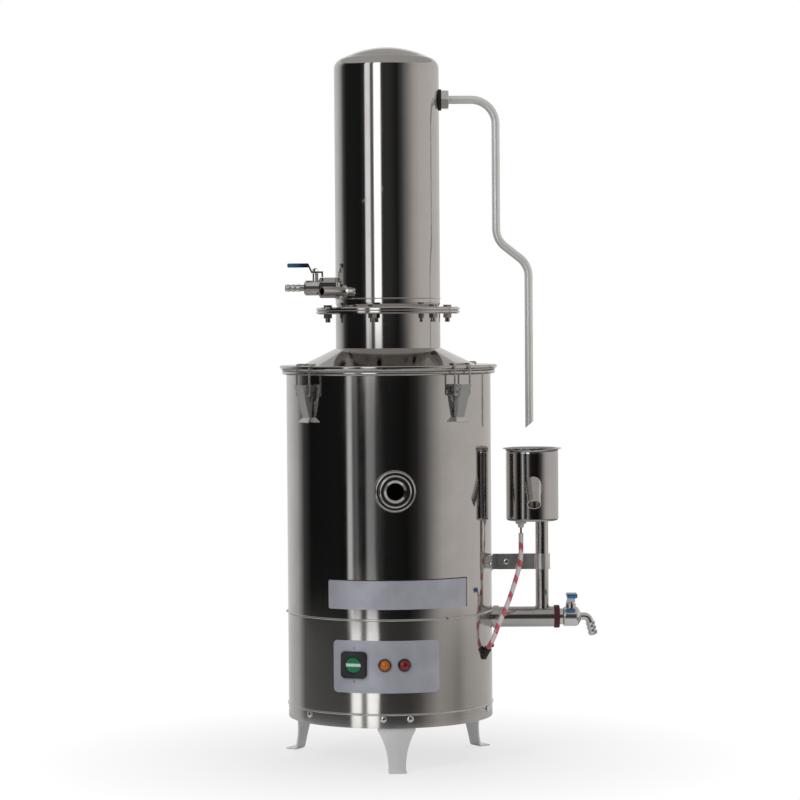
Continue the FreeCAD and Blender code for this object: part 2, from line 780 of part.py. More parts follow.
def heating_element():
    """Tubular element: an open loop over the boiler's floor, with two legs through gland nuts."""
    z = Z_POT_FLOOR + HEATER_RISE
    start = 90 + HEATER_OPEN_ANGLE / 2
    loop = Part.makeTorus(HEATER_LOOP_R, HEATER_R, ORIGIN, Z_AXIS, -180, 180, 360 - HEATER_OPEN_ANGLE)
    loop = loop.rotated(ORIGIN, Z_AXIS, start).translated(Vector(0, 0, z))
    pieces = [loop]
    floor_top = Z_POT_FLOOR + SHEET
    for x, y in heater_ends():
        pieces.append(Part.makeSphere(HEATER_R, Vector(x, y, z)))
        pieces.append(disc(HEATER_R, Z_POT_FLOOR - HEATER_PIN, z, x, y))
        pieces.append(disc(HEATER_NUT_R, floor_top, floor_top + HEATER_NUT_H, x, y))
        pieces.append(disc(HEATER_NUT_R, Z_POT_FLOOR - HEATER_NUT_H, Z_POT_FLOOR, x, y))
    return fused(pieces)


def sight_glass_frame():
    """Round welded frame with a recess for the glass and its ring."""
    z = Z_BASE_TOP + GLASS_RISE
    face = BODY_R + GLASS_FRAME_OUT
    shape = turned_along_x(
        z,
        (BODY_R - 8, GLASS_VIEW_R),
        (BODY_R - 8, GLASS_FRAME_R),
        (face - 2, GLASS_FRAME_R),
        ((face - 0.6, GLASS_FRAME_R - 0.6), (face, GLASS_FRAME_R - 2)),
        (face, GLASS_SEAT_R),
        (face - GLASS_SEAT_DEPTH, GLASS_SEAT_R),
        (face - GLASS_SEAT_DEPTH, GLASS_VIEW_R),
    )
    return at_azimuth(shape.cut(disc(BODY_R, Z_BASE_TOP, Z_RIM)), GLASS_AZIMUTH)


def sight_glass():
    """Glass disc that lies in the frame's recess."""
    x = BODY_R + GLASS_FRAME_OUT - GLASS_SEAT_DEPTH
    shape = bar(GLASS_DISC_R, x, x + GLASS_DISC_T, Z_BASE_TOP + GLASS_RISE)
    return at_azimuth(shape, GLASS_AZIMUTH)


def sight_glass_ring():
    """Screwed ring that holds the glass, with a bevelled window."""
    x = BODY_R + GLASS_FRAME_OUT - GLASS_SEAT_DEPTH
    face = BODY_R + GLASS_RING_OUT
    shape = turned_along_x(
        Z_BASE_TOP + GLASS_RISE,
        (x, GLASS_DISC_R + RUNNING),
        (x, GLASS_SEAT_R - RUNNING),
        (face - 2.2, GLASS_SEAT_R - RUNNING),
        ((face - 0.7, GLASS_SEAT_R - 0.9), (face, GLASS_SEAT_R - 3)),
        (face, GLASS_VIEW_R + 3),
        (face - 2, GLASS_VIEW_R),
        (x + GLASS_DISC_T, GLASS_VIEW_R),
        (x + GLASS_DISC_T, GLASS_DISC_R + RUNNING),
    )
    return at_azimuth(shape, GLASS_AZIMUTH)


def blank_plate():
    """Bare curved plate low on the boiler."""
    return wall_plate(PLATE_AZIMUTHS, Z_BASE_TOP + PLATE_RISE, PLATE_H, PLATE_CORNER, PLATE_T)


def lid_gasket():
    """Soft ring between the pot's rim and the lid."""
    return ring(LID_R - LID_EDGE_T - 0.2, BODY_R - 3, Z_RIM, Z_LID_SEAT)


def flange_holes(z0, z1):
    """Clearance for the six flange bolts."""
    holes = []
    for step in range(BOLT_COUNT):
        spot = outward(BOLT_AZIMUTH + 360 / BOLT_COUNT * step) * (BOLT_PCD / 2)
        holes.append(disc(BOLT_HOLE_R, z0, z1, spot.x, spot.y))
    return holes


def boiler_lid():
    """Lid with a rolled edge, a flat annulus, a cone, the neck and the lower flange."""
    edge_low = Z_LID_TOP - LID_EDGE_H
    cone_in = CONE_R - HEAVY_SHEET / 2
    shape = turned(
        (LID_R - LID_EDGE_T, Z_LID_SEAT),
        (LID_R - LID_EDGE_T, edge_low),
        (LID_R - 1, edge_low),
        (LID_R, edge_low + 1),
        (LID_R, Z_LID_TOP - 1.5),
        ((LID_R - 0.44, Z_LID_TOP - 0.44), (LID_R - 1.5, Z_LID_TOP)),
        (CONE_R, Z_LID_TOP),
        (COLUMN_R, Z_CONE_TOP),
        (COLUMN_R, Z_LOWER_FLANGE),
        (FLANGE_R - FLANGE_CHAMFER, Z_LOWER_FLANGE),
        (FLANGE_R, Z_LOWER_FLANGE + FLANGE_CHAMFER),
        (FLANGE_R, Z_FLANGE_GASKET),
        (NECK_IN_R, Z_FLANGE_GASKET),
        (NECK_IN_R, Z_CONE_TOP - HEAVY_SHEET / 2),
        (cone_in, Z_LID_SEAT),
    )
    return cut_all(shape, flange_holes(Z_LOWER_FLANGE - 1, Z_FLANGE_GASKET + 1))


def flange_gasket():
    """Flat ring between the two flanges, with the bolt holes."""
    shape = ring(FLANGE_R - 2, COLUMN_R - SHEET, Z_FLANGE_GASKET, Z_UPPER_FLANGE)
    return cut_all(shape, flange_holes(Z_FLANGE_GASKET - 1, Z_UPPER_FLANGE + 1))


def condenser_shell():
    """Column shell with its upper flange, rolled in at the foot, and its three holes."""
    in_r = COLUMN_R - SHEET
    foot_out = COLUMN_R - SHELL_FOOT_IN
    foot_in = in_r - SHELL_FOOT_IN
    bead_z = Z_LEDGE + 3.6
    shape = turned(
        (foot_in, Z_UPPER_FLANGE),
        (FLANGE_R, Z_UPPER_FLANGE),
        (FLANGE_R, Z_FLANGE_TOP - FLANGE_CHAMFER),
        (FLANGE_R - FLANGE_CHAMFER, Z_FLANGE_TOP),
        (foot_out, Z_FLANGE_TOP),
        ((COLUMN_R - 0.8, Z_FLANGE_TOP + 2.4), (COLUMN_R, Z_FLANGE_TOP + 5.5)),
        (COLUMN_R, bead_z - 0.8),
        ((COLUMN_R + 0.8, bead_z), (COLUMN_R, bead_z + 0.8)),
        (COLUMN_R, Z_SHELL_TOP),
        (in_r, Z_SHELL_TOP),
        (in_r, Z_LEDGE),
        (foot_in, Z_LEDGE - 3.2),
    )
    cutters = flange_holes(Z_UPPER_FLANGE - 1, Z_FLANGE_TOP + 1)
    cutters.append(bar(STUB_R + RUNNING, -COLUMN_R - 2, -COLUMN_R + 10, Z_INLET))
    cutters.append(bar(STUB_R + RUNNING, COLUMN_R - 10, COLUMN_R + 2, Z_RETURN))
    cutters.append(at_azimuth(bar(NOZZLE_BORE_R, COLUMN_R - 10, COLUMN_R + 2, Z_NOZZLE), NOZZLE_AZIMUTH))
    return cut_all(shape, cutters)


def condenser_cap():
    """Domed cap with a knuckle at its shoulder and a spigot inside the shell."""
    t = SHEET
    skirt_top = Z_SHELL_TOP + CAP_SKIRT
    knuckle_r = COLUMN_R - CAP_KNUCKLE
    knuckle_z = Z_CAP_TOP - CAP_CROWN_H
    out_r, out_rise = dome_through(knuckle_r, CAP_CROWN_H)
    crown_in_r = knuckle_r - 0.4
    in_through_r, in_rise = dome_through(crown_in_r, CAP_CROWN_H)
    bow_r = COLUMN_R - CAP_KNUCKLE * 0.23
    bow_z = skirt_top + (knuckle_z - skirt_top) * 0.6
    in_r = COLUMN_R - t - FIT
    return turned(
        (in_r, Z_SHELL_TOP),
        (COLUMN_R, Z_SHELL_TOP),
        (COLUMN_R, skirt_top),
        ((bow_r, bow_z), (knuckle_r, knuckle_z)),
        ((out_r, knuckle_z + out_rise), (0, Z_CAP_TOP)),
        (0, Z_CAP_TOP - t),
        ((in_through_r, knuckle_z - t + in_rise), (crown_in_r, knuckle_z - t)),
        ((bow_r - t, bow_z - 0.4), (COLUMN_R - t, skirt_top)),
        (COLUMN_R - t, Z_SHELL_TOP + 2 * t),
        (in_r - t, Z_SHELL_TOP + t),
        (in_r - t, Z_SHELL_TOP - CAP_SPIGOT),
        (in_r, Z_SHELL_TOP - CAP_SPIGOT),
    )


def distillate_tray():
    """Ring tray on the shell's ledge, with the chimney that lets the steam up."""
    r = COLUMN_R - SHEET - FIT
    return turned(
        (CHIMNEY_R - SHEET, Z_LEDGE),
        (r, Z_LEDGE),
        (r, Z_LEDGE + TRAY_T),
        (CHIMNEY_R, Z_LEDGE + TRAY_T),
        (CHIMNEY_R, Z_LEDGE + CHIMNEY_H),
        (CHIMNEY_R - SHEET, Z_LEDGE + CHIMNEY_H),
    )


def header_solids(grow):
    """The two water headers, the tubes between them and the two stubs, larger or smaller by a wall."""
    solids = []
    for z in (Z_INLET, Z_RETURN):
        half = HEADER_H / 2 + grow
        solids.append(ring(HEADER_R + grow, HEADER_HOLE_R - grow, z - half, z + half))
    for step in range(TUBE_COUNT):
        spot = outward(360 / TUBE_COUNT * (step + 0.5)) * TUBE_CIRCLE_R
        solids.append(disc(TUBE_R + grow, Z_INLET, Z_RETURN, spot.x, spot.y))
    return solids


def condenser_core():
    """Cooling water core: lower and upper header, eight tubes, and a stub through the shell at each."""
    metal = header_solids(0.0)
    metal.append(bar(STUB_R, -COLUMN_R, -HEADER_R + SHEET, Z_INLET))
    metal.append(bar(STUB_R, HEADER_R - SHEET, COLUMN_R, Z_RETURN))
    water = header_solids(-SHEET)
    water.append(bar(STUB_BORE_R, -COLUMN_R - 1, -HEADER_R + 2 * SHEET, Z_INLET))
    water.append(bar(STUB_BORE_R, HEADER_R - 2 * SHEET, COLUMN_R + 1, Z_RETURN))
    core = fused(metal).cut(fused(water))
    return core.common(disc(COLUMN_R, Z_LEDGE, Z_SHELL_TOP))


def flange_bolts():
    """Hexagon head bolts through both flanges."""
    bolts = []
    head = hexagon(BOLT_HEAD_AF, BOLT_HEAD_H, Z_AXIS).translated(Vector(0, 0, Z_FLANGE_TOP))
    bolt = fused([head, disc(BOLT_R, Z_LOWER_FLANGE - BOLT_TAIL, Z_FLANGE_TOP + 1)])
    for step in range(BOLT_COUNT):
        spot = outward(BOLT_AZIMUTH + 360 / BOLT_COUNT * step) * (BOLT_PCD / 2)
        bolts.append(bolt.translated(spot))
    return Part.makeCompound(bolts)


def flange_nuts():
    """Hexagon nuts under the lower flange."""
    nuts = []
    nut = hexagon(BOLT_HEAD_AF, BOLT_NUT_H, Z_AXIS).translated(Vector(0, 0, Z_LOWER_FLANGE - BOLT_NUT_H))
    nut = nut.cut(disc(BOLT_R + RUNNING, Z_LOWER_FLANGE - 20, Z_FLANGE_TOP))
    for step in range(BOLT_COUNT):
        spot = outward(BOLT_AZIMUTH + 360 / BOLT_COUNT * step) * (BOLT_PCD / 2)
        nuts.append(nut.translated(spot))
    return Part.makeCompound(nuts)


def distillate_nozzle():
    """Plain tube that leads the distillate out of the tray, with the weld round its root."""
    tube = bar(NOZZLE_R, COLUMN_R - 3, COLUMN_R + NOZZLE_LEN, Z_NOZZLE)
    foot = NOZZLE_WELD + SHEET
    weld = Part.makeCone(NOZZLE_R + foot, NOZZLE_R, foot, Vector(COLUMN_R - SHEET, 0, Z_NOZZLE), X_AXIS)
    shape = fused([tube, weld])
    shape = shape.cut(bar(NOZZLE_BORE_R, COLUMN_R - 4, COLUMN_R + NOZZLE_LEN + 1, Z_NOZZLE))
    shape = shape.cut(disc(COLUMN_R, Z_UPPER_FLANGE, Z_SHELL_TOP))
    return at_azimuth(shape, NOZZLE_AZIMUTH)


def barbed_tail(length, root_r, crest_r, pitch):
    """Hose tail along +X from the origin: a plain tube with sharp-edged cones."""
    tail = Part.makeCylinder(root_r, length, ORIGIN, X_AXIS)
    slope = pitch - BARB_LAND
    for step in range(BARB_COUNT):
        tip = length - BARB_TIP - pitch * step
        tail = tail.fuse(Part.makeCone(crest_r, root_r, slope, Vector(tip - slope, 0, 0), X_AXIS))
    return tail


def valve_parts(length, body_r):
    """Ball valve body along +X with its stem at the origin, less the ball's room and the bore."""
    back = -STEM_OFFSET
    body = turned_along_x(
        0,
        (back, 0),
        (back, body_r - 0.9),
        (back + 0.9, body_r),
        (back + length - 2.2, body_r),
        (back + length, body_r - 2.2),
        (back + length, 0),
    )
    boss = disc(GLAND_BOSS_R, 0, body_r + GLAND_BOSS_H)
    return fused([body, boss])


def valve_room(start, end):
    """Space of the ball, the stem and the waterway, from start to end, inside a valve body."""
    ball = Part.makeSphere(BALL_R + RUNNING)
    stem = disc(STEM_R + RUNNING, 0, VALVE_R + GLAND_BOSS_H + 5)
    return [ball, stem, bar(VALVE_BORE_R, start, end, 0)]


def valve_stem():
    """Ball with its waterway along X, its stem and the nut that holds the lever."""
    top = VALVE_R + GLAND_BOSS_H + FIT + LEVER_T
    nut = hexagon(LEVER_NUT_AF, LEVER_NUT_H, Z_AXIS).translated(Vector(0, 0, top))
    stem = disc(STEM_R, 0, top + LEVER_NUT_H + 1.2)
    ball = Part.makeSphere(BALL_R).cut(bar(VALVE_BORE_R, -20, 20, 0))
    stem = stem.cut(bar(VALVE_BORE_R, -20, 20, 0))
    return fused([ball, stem, nut])


def lever_outline():
    """Side outline of the lever's flat hub, its rise and its upper run."""
    low = VALVE_R + GLAND_BOSS_H + FIT
    high = low + LEVER_LIFT
    rise_x = LEVER_HUB + LEVER_RUN
    return [
        (LEVER_HUB, low),
        (rise_x, high),
        (LEVER_REACH, high),
        (LEVER_REACH, high + LEVER_T),
        (rise_x - LEVER_BEND, high + LEVER_T),
        (LEVER_HUB - LEVER_BEND, low + LEVER_T),
    ]


def valve_lever():
    """Flat lever on the stem: raised outer run, and a tab bent down behind the stem as a stop."""
    low = VALVE_R + GLAND_BOSS_H + FIT
    back = -LEVER_TAB_OUT
    half = LEVER_W / 2
    plate = side_plate(
        -half,
        half,
        (back, low - LEVER_TAB_H),
        (back + LEVER_T, low - LEVER_TAB_H),
        (back + LEVER_T, low),
        *lever_outline(),
        (back, low + LEVER_T),
    )
    nose = disc(half, low - 10, low + 20, LEVER_REACH - half)
    body = block(-30, LEVER_REACH - half, -half, half, low - 10, low + 20)
    return plate.common(fused([nose, body])).cut(disc(STEM_R, low - 10, low + 20))


def lever_sleeve():
    """Plastic sleeve pushed over the outer run of the lever."""
    low = VALVE_R + GLAND_BOSS_H + FIT
    start = LEVER_REACH - SLEEVE_LEN
    z0 = low + LEVER_LIFT - SLEEVE_T
    z1 = low + LEVER_LIFT + LEVER_T + SLEEVE_T
    half = LEVER_W / 2 + SLEEVE_T
    reach = LEVER_REACH + SLEEVE_T
    solid = fused([disc(half, z0, z1, reach - half), block(start, reach - half, -half, half, z0, z1)])
    rims = [e for e in solid.Edges if abs(e.BoundBox.ZMax - e.BoundBox.ZMin) < 0.01]
    solid = solid.makeFillet(SLEEVE_T - 0.2, rims)
    return solid.cut(valve_lever())


def inlet_placed(shape):
    """Turns a valve piece so that the valve points to the left at the inlet."""
    return shape.rotated(ORIGIN, Z_AXIS, 180).translated(Vector(INLET_STEM_X, 0, Z_INLET))


def inlet_coupling():
    """Hexagon coupling welded to the column."""
    shape = hexagon(COUPLING_AF, COUPLING_LEN + 8, X_AXIS, corner_up=True)
    shape = shape.translated(Vector(COLUMN_R - 8, 0, 0))
    end = COLUMN_R + COUPLING_LEN
    across = COUPLING_AF / math.sqrt(3)
    envelope = turned_along_x(0, (0, 0), (0, across), (end - 1.6, across), (end, across - 2.2), (end, 0))
    shape = shape.common(envelope).cut(disc(COLUMN_R, -30, 30))
    shape = shape.cut(bar(STUB_BORE_R, COLUMN_R - 9, end + 1, 0))
    shape = shape.cut(bar(VALVE_R + RUNNING, end - VALVE_SOCKET, end + 1, 0))
    return shape.rotated(ORIGIN, Z_AXIS, 180).translated(Vector(0, 0, Z_INLET))


def inlet_valve_body():
    """Inlet ball valve body with its hose tail."""
    back = -STEM_OFFSET
    tail = barbed_tail(BARB_LEN, BARB_R, BARB_CREST_R, BARB_PITCH).translated(Vector(back + VALVE_LEN, 0, 0))
    body = fused([valve_parts(VALVE_LEN, VALVE_R), tail])
    cutters = valve_room(back - 1, back + VALVE_LEN)
    cutters.append(bar(BARB_BORE_R, 0, back + VALVE_LEN + BARB_LEN + 1, 0))
    return inlet_placed(cut_all(body, cutters))


def drain_placed(shape, closed=True):
    """Places a valve piece at the drain, its lever turned to the front when closed."""
    turn = -90 if closed else 0
    return shape.rotated(ORIGIN, Z_AXIS, turn).translated(Vector(DRAIN_STEM_X, 0, Z_FEED))


def drain_valve_body():
    """Drain ball valve body with the spigot that enters the feed pipe."""
    offset = DRAIN_STEM_X - DRAIN_X
    back = -offset
    body = turned_along_x(
        0,
        (back, 0),
        (back, DRAIN_END_R),
        (back + DRAIN_COLLAR, DRAIN_END_R),
        ((back + DRAIN_COLLAR + 1, DRAIN_BODY_R - 0.6), (back + DRAIN_COLLAR + 3, DRAIN_BODY_R)),
        (back + DRAIN_LEN - DRAIN_COLLAR - 2, DRAIN_BODY_R),
        ((back + DRAIN_LEN - DRAIN_COLLAR, DRAIN_BODY_R - 0.9), (back + DRAIN_LEN - 2, DRAIN_END_R - 1)),
        (back + DRAIN_LEN, DRAIN_NECK_R + 1),
        (back + DRAIN_LEN, 0),
    )
    top = VALVE_R + GLAND_BOSS_H
    boss = fused([disc(DRAIN_BOSS_R, 0, top - 2), disc(GLAND_BOSS_R, 0, top)])
    spigot = bar(DRAIN_SPIGOT_R, back - DRAIN_GASKET_T - FEED_END_T, back + 1, 0)
    body = fused([body, boss, spigot])
    cutters = valve_room(back - DRAIN_GASKET_T - FEED_END_T - 1, back + DRAIN_LEN + 1)
    return drain_placed(cut_all(body, cutters), closed=False)


def drain_gasket():
    """Thick soft ring between the feed pipe and the drain valve."""
    shape = bar(DRAIN_GASKET_R, FEED_END_X, DRAIN_X, Z_FEED)
    edges = [e for e in shape.Edges if e.Closed]
    shape = shape.makeFillet(1.2, edges)
    return shape.cut(bar(DRAIN_SPIGOT_R, FEED_END_X - 1, DRAIN_X + 1, Z_FEED))


def drain_elbow_points():
    """Start, corner and end of the drain elbow's centre line."""
    start = Vector(DRAIN_X + DRAIN_LEN, 0, Z_FEED)
    corner = start + Vector(DRAIN_OUT, 0, 0)
    lean = math.radians(DRAIN_LEAN_ANGLE)
    end = corner + Vector(math.tan(lean) * DRAIN_DROP, 0, -DRAIN_DROP)
    return [start, corner, end]


def drain_elbow():
    """Bent outlet tube with a barbed end that leans outwards."""
    start, corner, end = drain_elbow_points()
    way = (end - corner).normalize()
    half = math.radians(90 - DRAIN_LEAN_ANGLE) / 2
    root = corner + way * (DRAIN_BEND_R * math.tan(half))
    tail_len = (end - root).Length
    angle = math.degrees(math.atan2(-way.z, way.x))
    tail = barbed_tail(tail_len, DRAIN_TAIL_R, DRAIN_CREST_R, DRAIN_PITCH)
    tail = tail.rotated(ORIGIN, Y_AXIS, angle).translated(root)
    neck = tube_along([start, corner, root + way * 2.5], [DRAIN_BEND_R], DRAIN_NECK_R)
    beyond = end + way * 1.0
    before = start - Vector(1, 0, 0)
    bore = tube_along([before, corner, beyond], [DRAIN_BEND_R], BARB_BORE_R)
    return fused([neck, tail]).cut(bore)


def return_washer():
    """Rubber washer between the column and the return nut."""
    shape = bar(WASHER_R, COLUMN_R - 6, COLUMN_R + WASHER_T, Z_RETURN)
    shape = shape.cut(disc(COLUMN_R, Z_RETURN - 30, Z_RETURN + 30))
    return shape.cut(bar(RETURN_R, COLUMN_R - 9, COLUMN_R + 9, Z_RETURN))


def return_nut():
    """Hexagon nut that holds the return tube."""
    x = COLUMN_R + WASHER_T
    shape = hexagon(RETURN_NUT_AF, RETURN_NUT_LEN, X_AXIS)
    across = RETURN_NUT_AF / math.sqrt(3)
    end = RETURN_NUT_LEN
    envelope = turned_along_x(0, (0, 0), (0, across), (end - 1.4, across), (end, across - 2.0), (end, 0))
    shape = shape.common(envelope).translated(Vector(x, 0, Z_RETURN))
    return shape.cut(bar(RETURN_R, x - 1, x + RETURN_NUT_LEN + 1, Z_RETURN))


def return_tube():
    """Bent tube that leads the warm water down to the filling cup, cut off at a slant."""
    upper_x = COLUMN_R + RETURN_REACH
    lower_x = CUP_X - RETURN_CUP_OFFSET
    s_top = Z_RETURN - RETURN_S_TOP
    s_low = s_top - RETURN_S_H
    end_z = Z_CUP_TOP + RETURN_END_GAP
    points = [
        Vector(COLUMN_R, 0, Z_RETURN),
        Vector(upper_x, 0, Z_RETURN),
        Vector(upper_x, 0, s_top),
        Vector(lower_x, 0, s_low),
        Vector(lower_x, 0, end_z),
    ]
    radii = [RETURN_BEND_R, RETURN_S_R, RETURN_S_R]
    outer = tube_along(points, radii, RETURN_R)
    points[0] = points[0] - Vector(2, 0, 0)
    points[-1] = points[-1] - Vector(0, 0, 2)
    inner = tube_along(points, radii, RETURN_BORE_R)
    slant = side_plate(
        -20,
        20,
        (lower_x - RETURN_R, end_z),
        (lower_x + RETURN_R, end_z + 2 * RETURN_R * 0.85),
        (lower_x + 30, end_z + 2 * RETURN_R * 0.85),
        (lower_x + 30, end_z - 10),
        (lower_x - RETURN_R, end_z - 10),
    )
    return outer.cut(inner).cut(slant)


def feed_pipe():
    """Pipe welded into the boiler, with a collar on the base's wall and a drilled end wall."""
    start = POT_LOWER_R - SHEET
    pipe = bar(FEED_R, start, FEED_END_X, Z_FEED)
    collar = bar(FEED_COLLAR_R, BODY_R - 3, BODY_R + FEED_COLLAR_LEN, Z_FEED)
    rim = [e for e in collar.Edges if e.Closed and e.BoundBox.XMin > BODY_R]
    collar = collar.makeFillet(1.5, rim).cut(disc(BODY_R + BEAD_R + FIT, Z_BASE, Z_RIM))
    bore = bar(FEED_BORE_R, start - 1, FEED_END_X - FEED_END_T, Z_FEED)
    end_hole = bar(DRAIN_SPIGOT_R, FEED_END_X - FEED_END_T - 1, FEED_END_X + 1, Z_FEED)
    riser_hole = disc(RISER_BORE_R, Z_FEED, Z_FEED + FEED_R + 2, RISER_X)
    return cut_all(fused([pipe, collar]), [bore, end_hole, riser_hole])


def riser_tube():
    """Upright tube from the feed pipe to the filling cup."""
    shape = ring(RISER_R, RISER_BORE_R, Z_FEED, Z_CUP, RISER_X)
    return shape.cut(bar(FEED_R, RISER_X - 30, RISER_X + 30, Z_FEED))


def spout_solid(root, way, wall):
    """Overflow spout as a solid, smaller by a wall: it tapers from the cup's wall to a plain end."""
    flare = (SPOUT_ROOT_R - SPOUT_R) / SPOUT_TAPER
    back_r = SPOUT_ROOT_R + flare * SPOUT_BACK - wall
    taper = Part.makeCone(back_r, SPOUT_R - wall, SPOUT_BACK + SPOUT_TAPER, root - way * SPOUT_BACK, way)
    end_len = SPOUT_LEN - SPOUT_TAPER + (SHEET if wall else 0)
    return taper.fuse(Part.makeCylinder(SPOUT_R - wall, end_len, root + way * SPOUT_TAPER, way))


def filling_cup():
    """Open cup with a flared lip and an overflow spout that points forwards and down."""
    t = SHEET
    bow = CUP_CORNER * (1 - math.sqrt(0.5))
    lip_low = Z_CUP_TOP - CUP_LIP_H
    in_r = CUP_R - t
    cup = turned(
        (0, Z_CUP),
        (CUP_R - CUP_CORNER, Z_CUP),
        ((CUP_R - bow, Z_CUP + bow), (CUP_R, Z_CUP + CUP_CORNER)),
        (CUP_R, lip_low),
        ((CUP_R + 1.4, Z_CUP_TOP - 1.6), (CUP_R + CUP_LIP_OUT, Z_CUP_TOP - t)),
        (CUP_R + CUP_LIP_OUT, Z_CUP_TOP),
        ((CUP_R + 0.2, Z_CUP_TOP - 1.4), (in_r, lip_low)),
        (in_r, Z_CUP + CUP_CORNER),
        ((in_r - bow, Z_CUP + t + bow), (in_r - CUP_CORNER, Z_CUP + t)),
        (0, Z_CUP + t),
    ).translated(Vector(CUP_X, 0, 0))
    slope = math.radians(SPOUT_ANGLE)
    way = Vector(0, -math.cos(slope), -math.sin(slope))
    root = Vector(CUP_X, -CUP_R, Z_CUP + SPOUT_RISE)
    inside = disc(in_r + t / 2, Z_CUP, Z_CUP_TOP, CUP_X)
    spout = spout_solid(root, way, 0.0).cut(inside)
    bore = spout_solid(root, way, SPOUT_R - SPOUT_BORE_R)
    riser_hole = disc(RISER_BORE_R, Z_CUP - 1, Z_CUP + t + 1, RISER_X)
    rod_hole = disc(ELECTRODE_R, Z_CUP - 1, Z_CUP + t + 1, ELECTRODE_X)
    return cut_all(fused([cup, spout]), [bore, riser_hole, rod_hole])


def electrode():
    """Water electrode: a rod in the cup, a hexagon nut under its floor and a tapered tail."""
    nut_low = Z_CUP - ELECTRODE_NUT_H
    rod = disc(ELECTRODE_R, Z_CUP - 2, Z_CUP + ELECTRODE_UP, ELECTRODE_X)
    nut = hexagon(ELECTRODE_NUT_AF, ELECTRODE_NUT_H, Z_AXIS).translated(Vector(ELECTRODE_X, 0, nut_low))
    tail = turned((0, Z_ELECTRODE_END), (LEAD_R, Z_ELECTRODE_END), (ELECTRODE_TAIL_R, nut_low), (0, nut_low))
    return fused([rod, nut, tail.translated(Vector(ELECTRODE_X, 0, 0))])


def riser_bracket():
    """Angle bracket on the boiler's wall, with a leg that the strap is screwed to."""
    z0 = Z_BASE_TOP + BRACKET_RISE - BRACKET_H / 2
    z1 = z0 + BRACKET_H
    half = BRACKET_T / 2
    foot_plate = ring(BODY_R + BRACKET_T, BODY_R, z0, z1)
    wedge = block(0, BODY_R + 5, -BODY_R, half, z0, z1)
    wedge = wedge.common(wedge.rotated(ORIGIN, Z_AXIS, 90 - BRACKET_FOOT_SPAN))
    leg = block(BODY_R - 2, BODY_R + BRACKET_LEG, -half, half, z0, z1).cut(disc(BODY_R, z0, z1))
    return fused([foot_plate.common(wedge), leg])


def riser_strap():
    """Strap bent round the riser, its two ends on both sides of the bracket's leg."""
    z0 = Z_BASE_TOP + BRACKET_RISE - BRACKET_H / 2
    z1 = z0 + BRACKET_H
    start = BODY_R + STRAP_START
    half = BRACKET_T / 2
    loop_r = RISER_R + STRAP_T
    ends = block(start, RISER_X, -half - STRAP_T, half + STRAP_T, z0, z1)
    slot = block(start - 1, RISER_X, -half, half, z0 - 1, z1 + 1)
    strap = fused([disc(loop_r, z0, z1, RISER_X), ends])
    return cut_all(strap, [slot, disc(RISER_R, z0 - 1, z1 + 1, RISER_X)])


def lead_points():
    """Route of the sensor lead, from under the electrode's nut to the grommet's nipple."""
    tip, way = grommet_tip()
    return [
        Vector(ELECTRODE_X, 0, Z_ELECTRODE_END),
        Vector(ELECTRODE_X, 0, 262.0),
        Vector(160.5, -11.5, 238.0),
        Vector(152.0, -27.0, 213.0),
        Vector(143.0, -41.0, 189.0),
        Vector(130.5, -54.0, 165.0),
        tip + way * 12.0,
        tip,
    ]


def lead_radii(points):
    """Bend radius at each inner point of the lead: as large as its two runs allow."""
    radii = []
    for before, corner, after in zip(points, points[1:], points[2:]):
        shorter = min((before - corner).Length, (after - corner).Length)
        turn = math.pi - (before - corner).getAngle(after - corner)
        radii.append(0.45 * shorter / math.tan(turn / 2))
    return radii


def sensor_lead():
    """Sleeved lead of the water electrode."""
    points = lead_points()
    radii = lead_radii(points)
    lead = tube_along(points, radii, LEAD_R)
    length = lead.Volume / (math.pi * LEAD_R**2)
    print("lead bend radii", [round(r, 1) for r in radii], "length", round(length, 1))
    print("least radius in diameters", round(min(radii) / (2 * LEAD_R), 2), "needed", LEAD_LIMP_DIAMETERS)
    return lead


def latch_front(half_top, half_toe, z_top, z_toe):
    """Cutter with the tapered front outline of a latch lever."""
    return front_plate(
        BODY_R - 5, BODY_R + 40, (-half_top, z_top), (half_top, z_top), (half_toe, z_toe), (-half_toe, z_toe)
    )


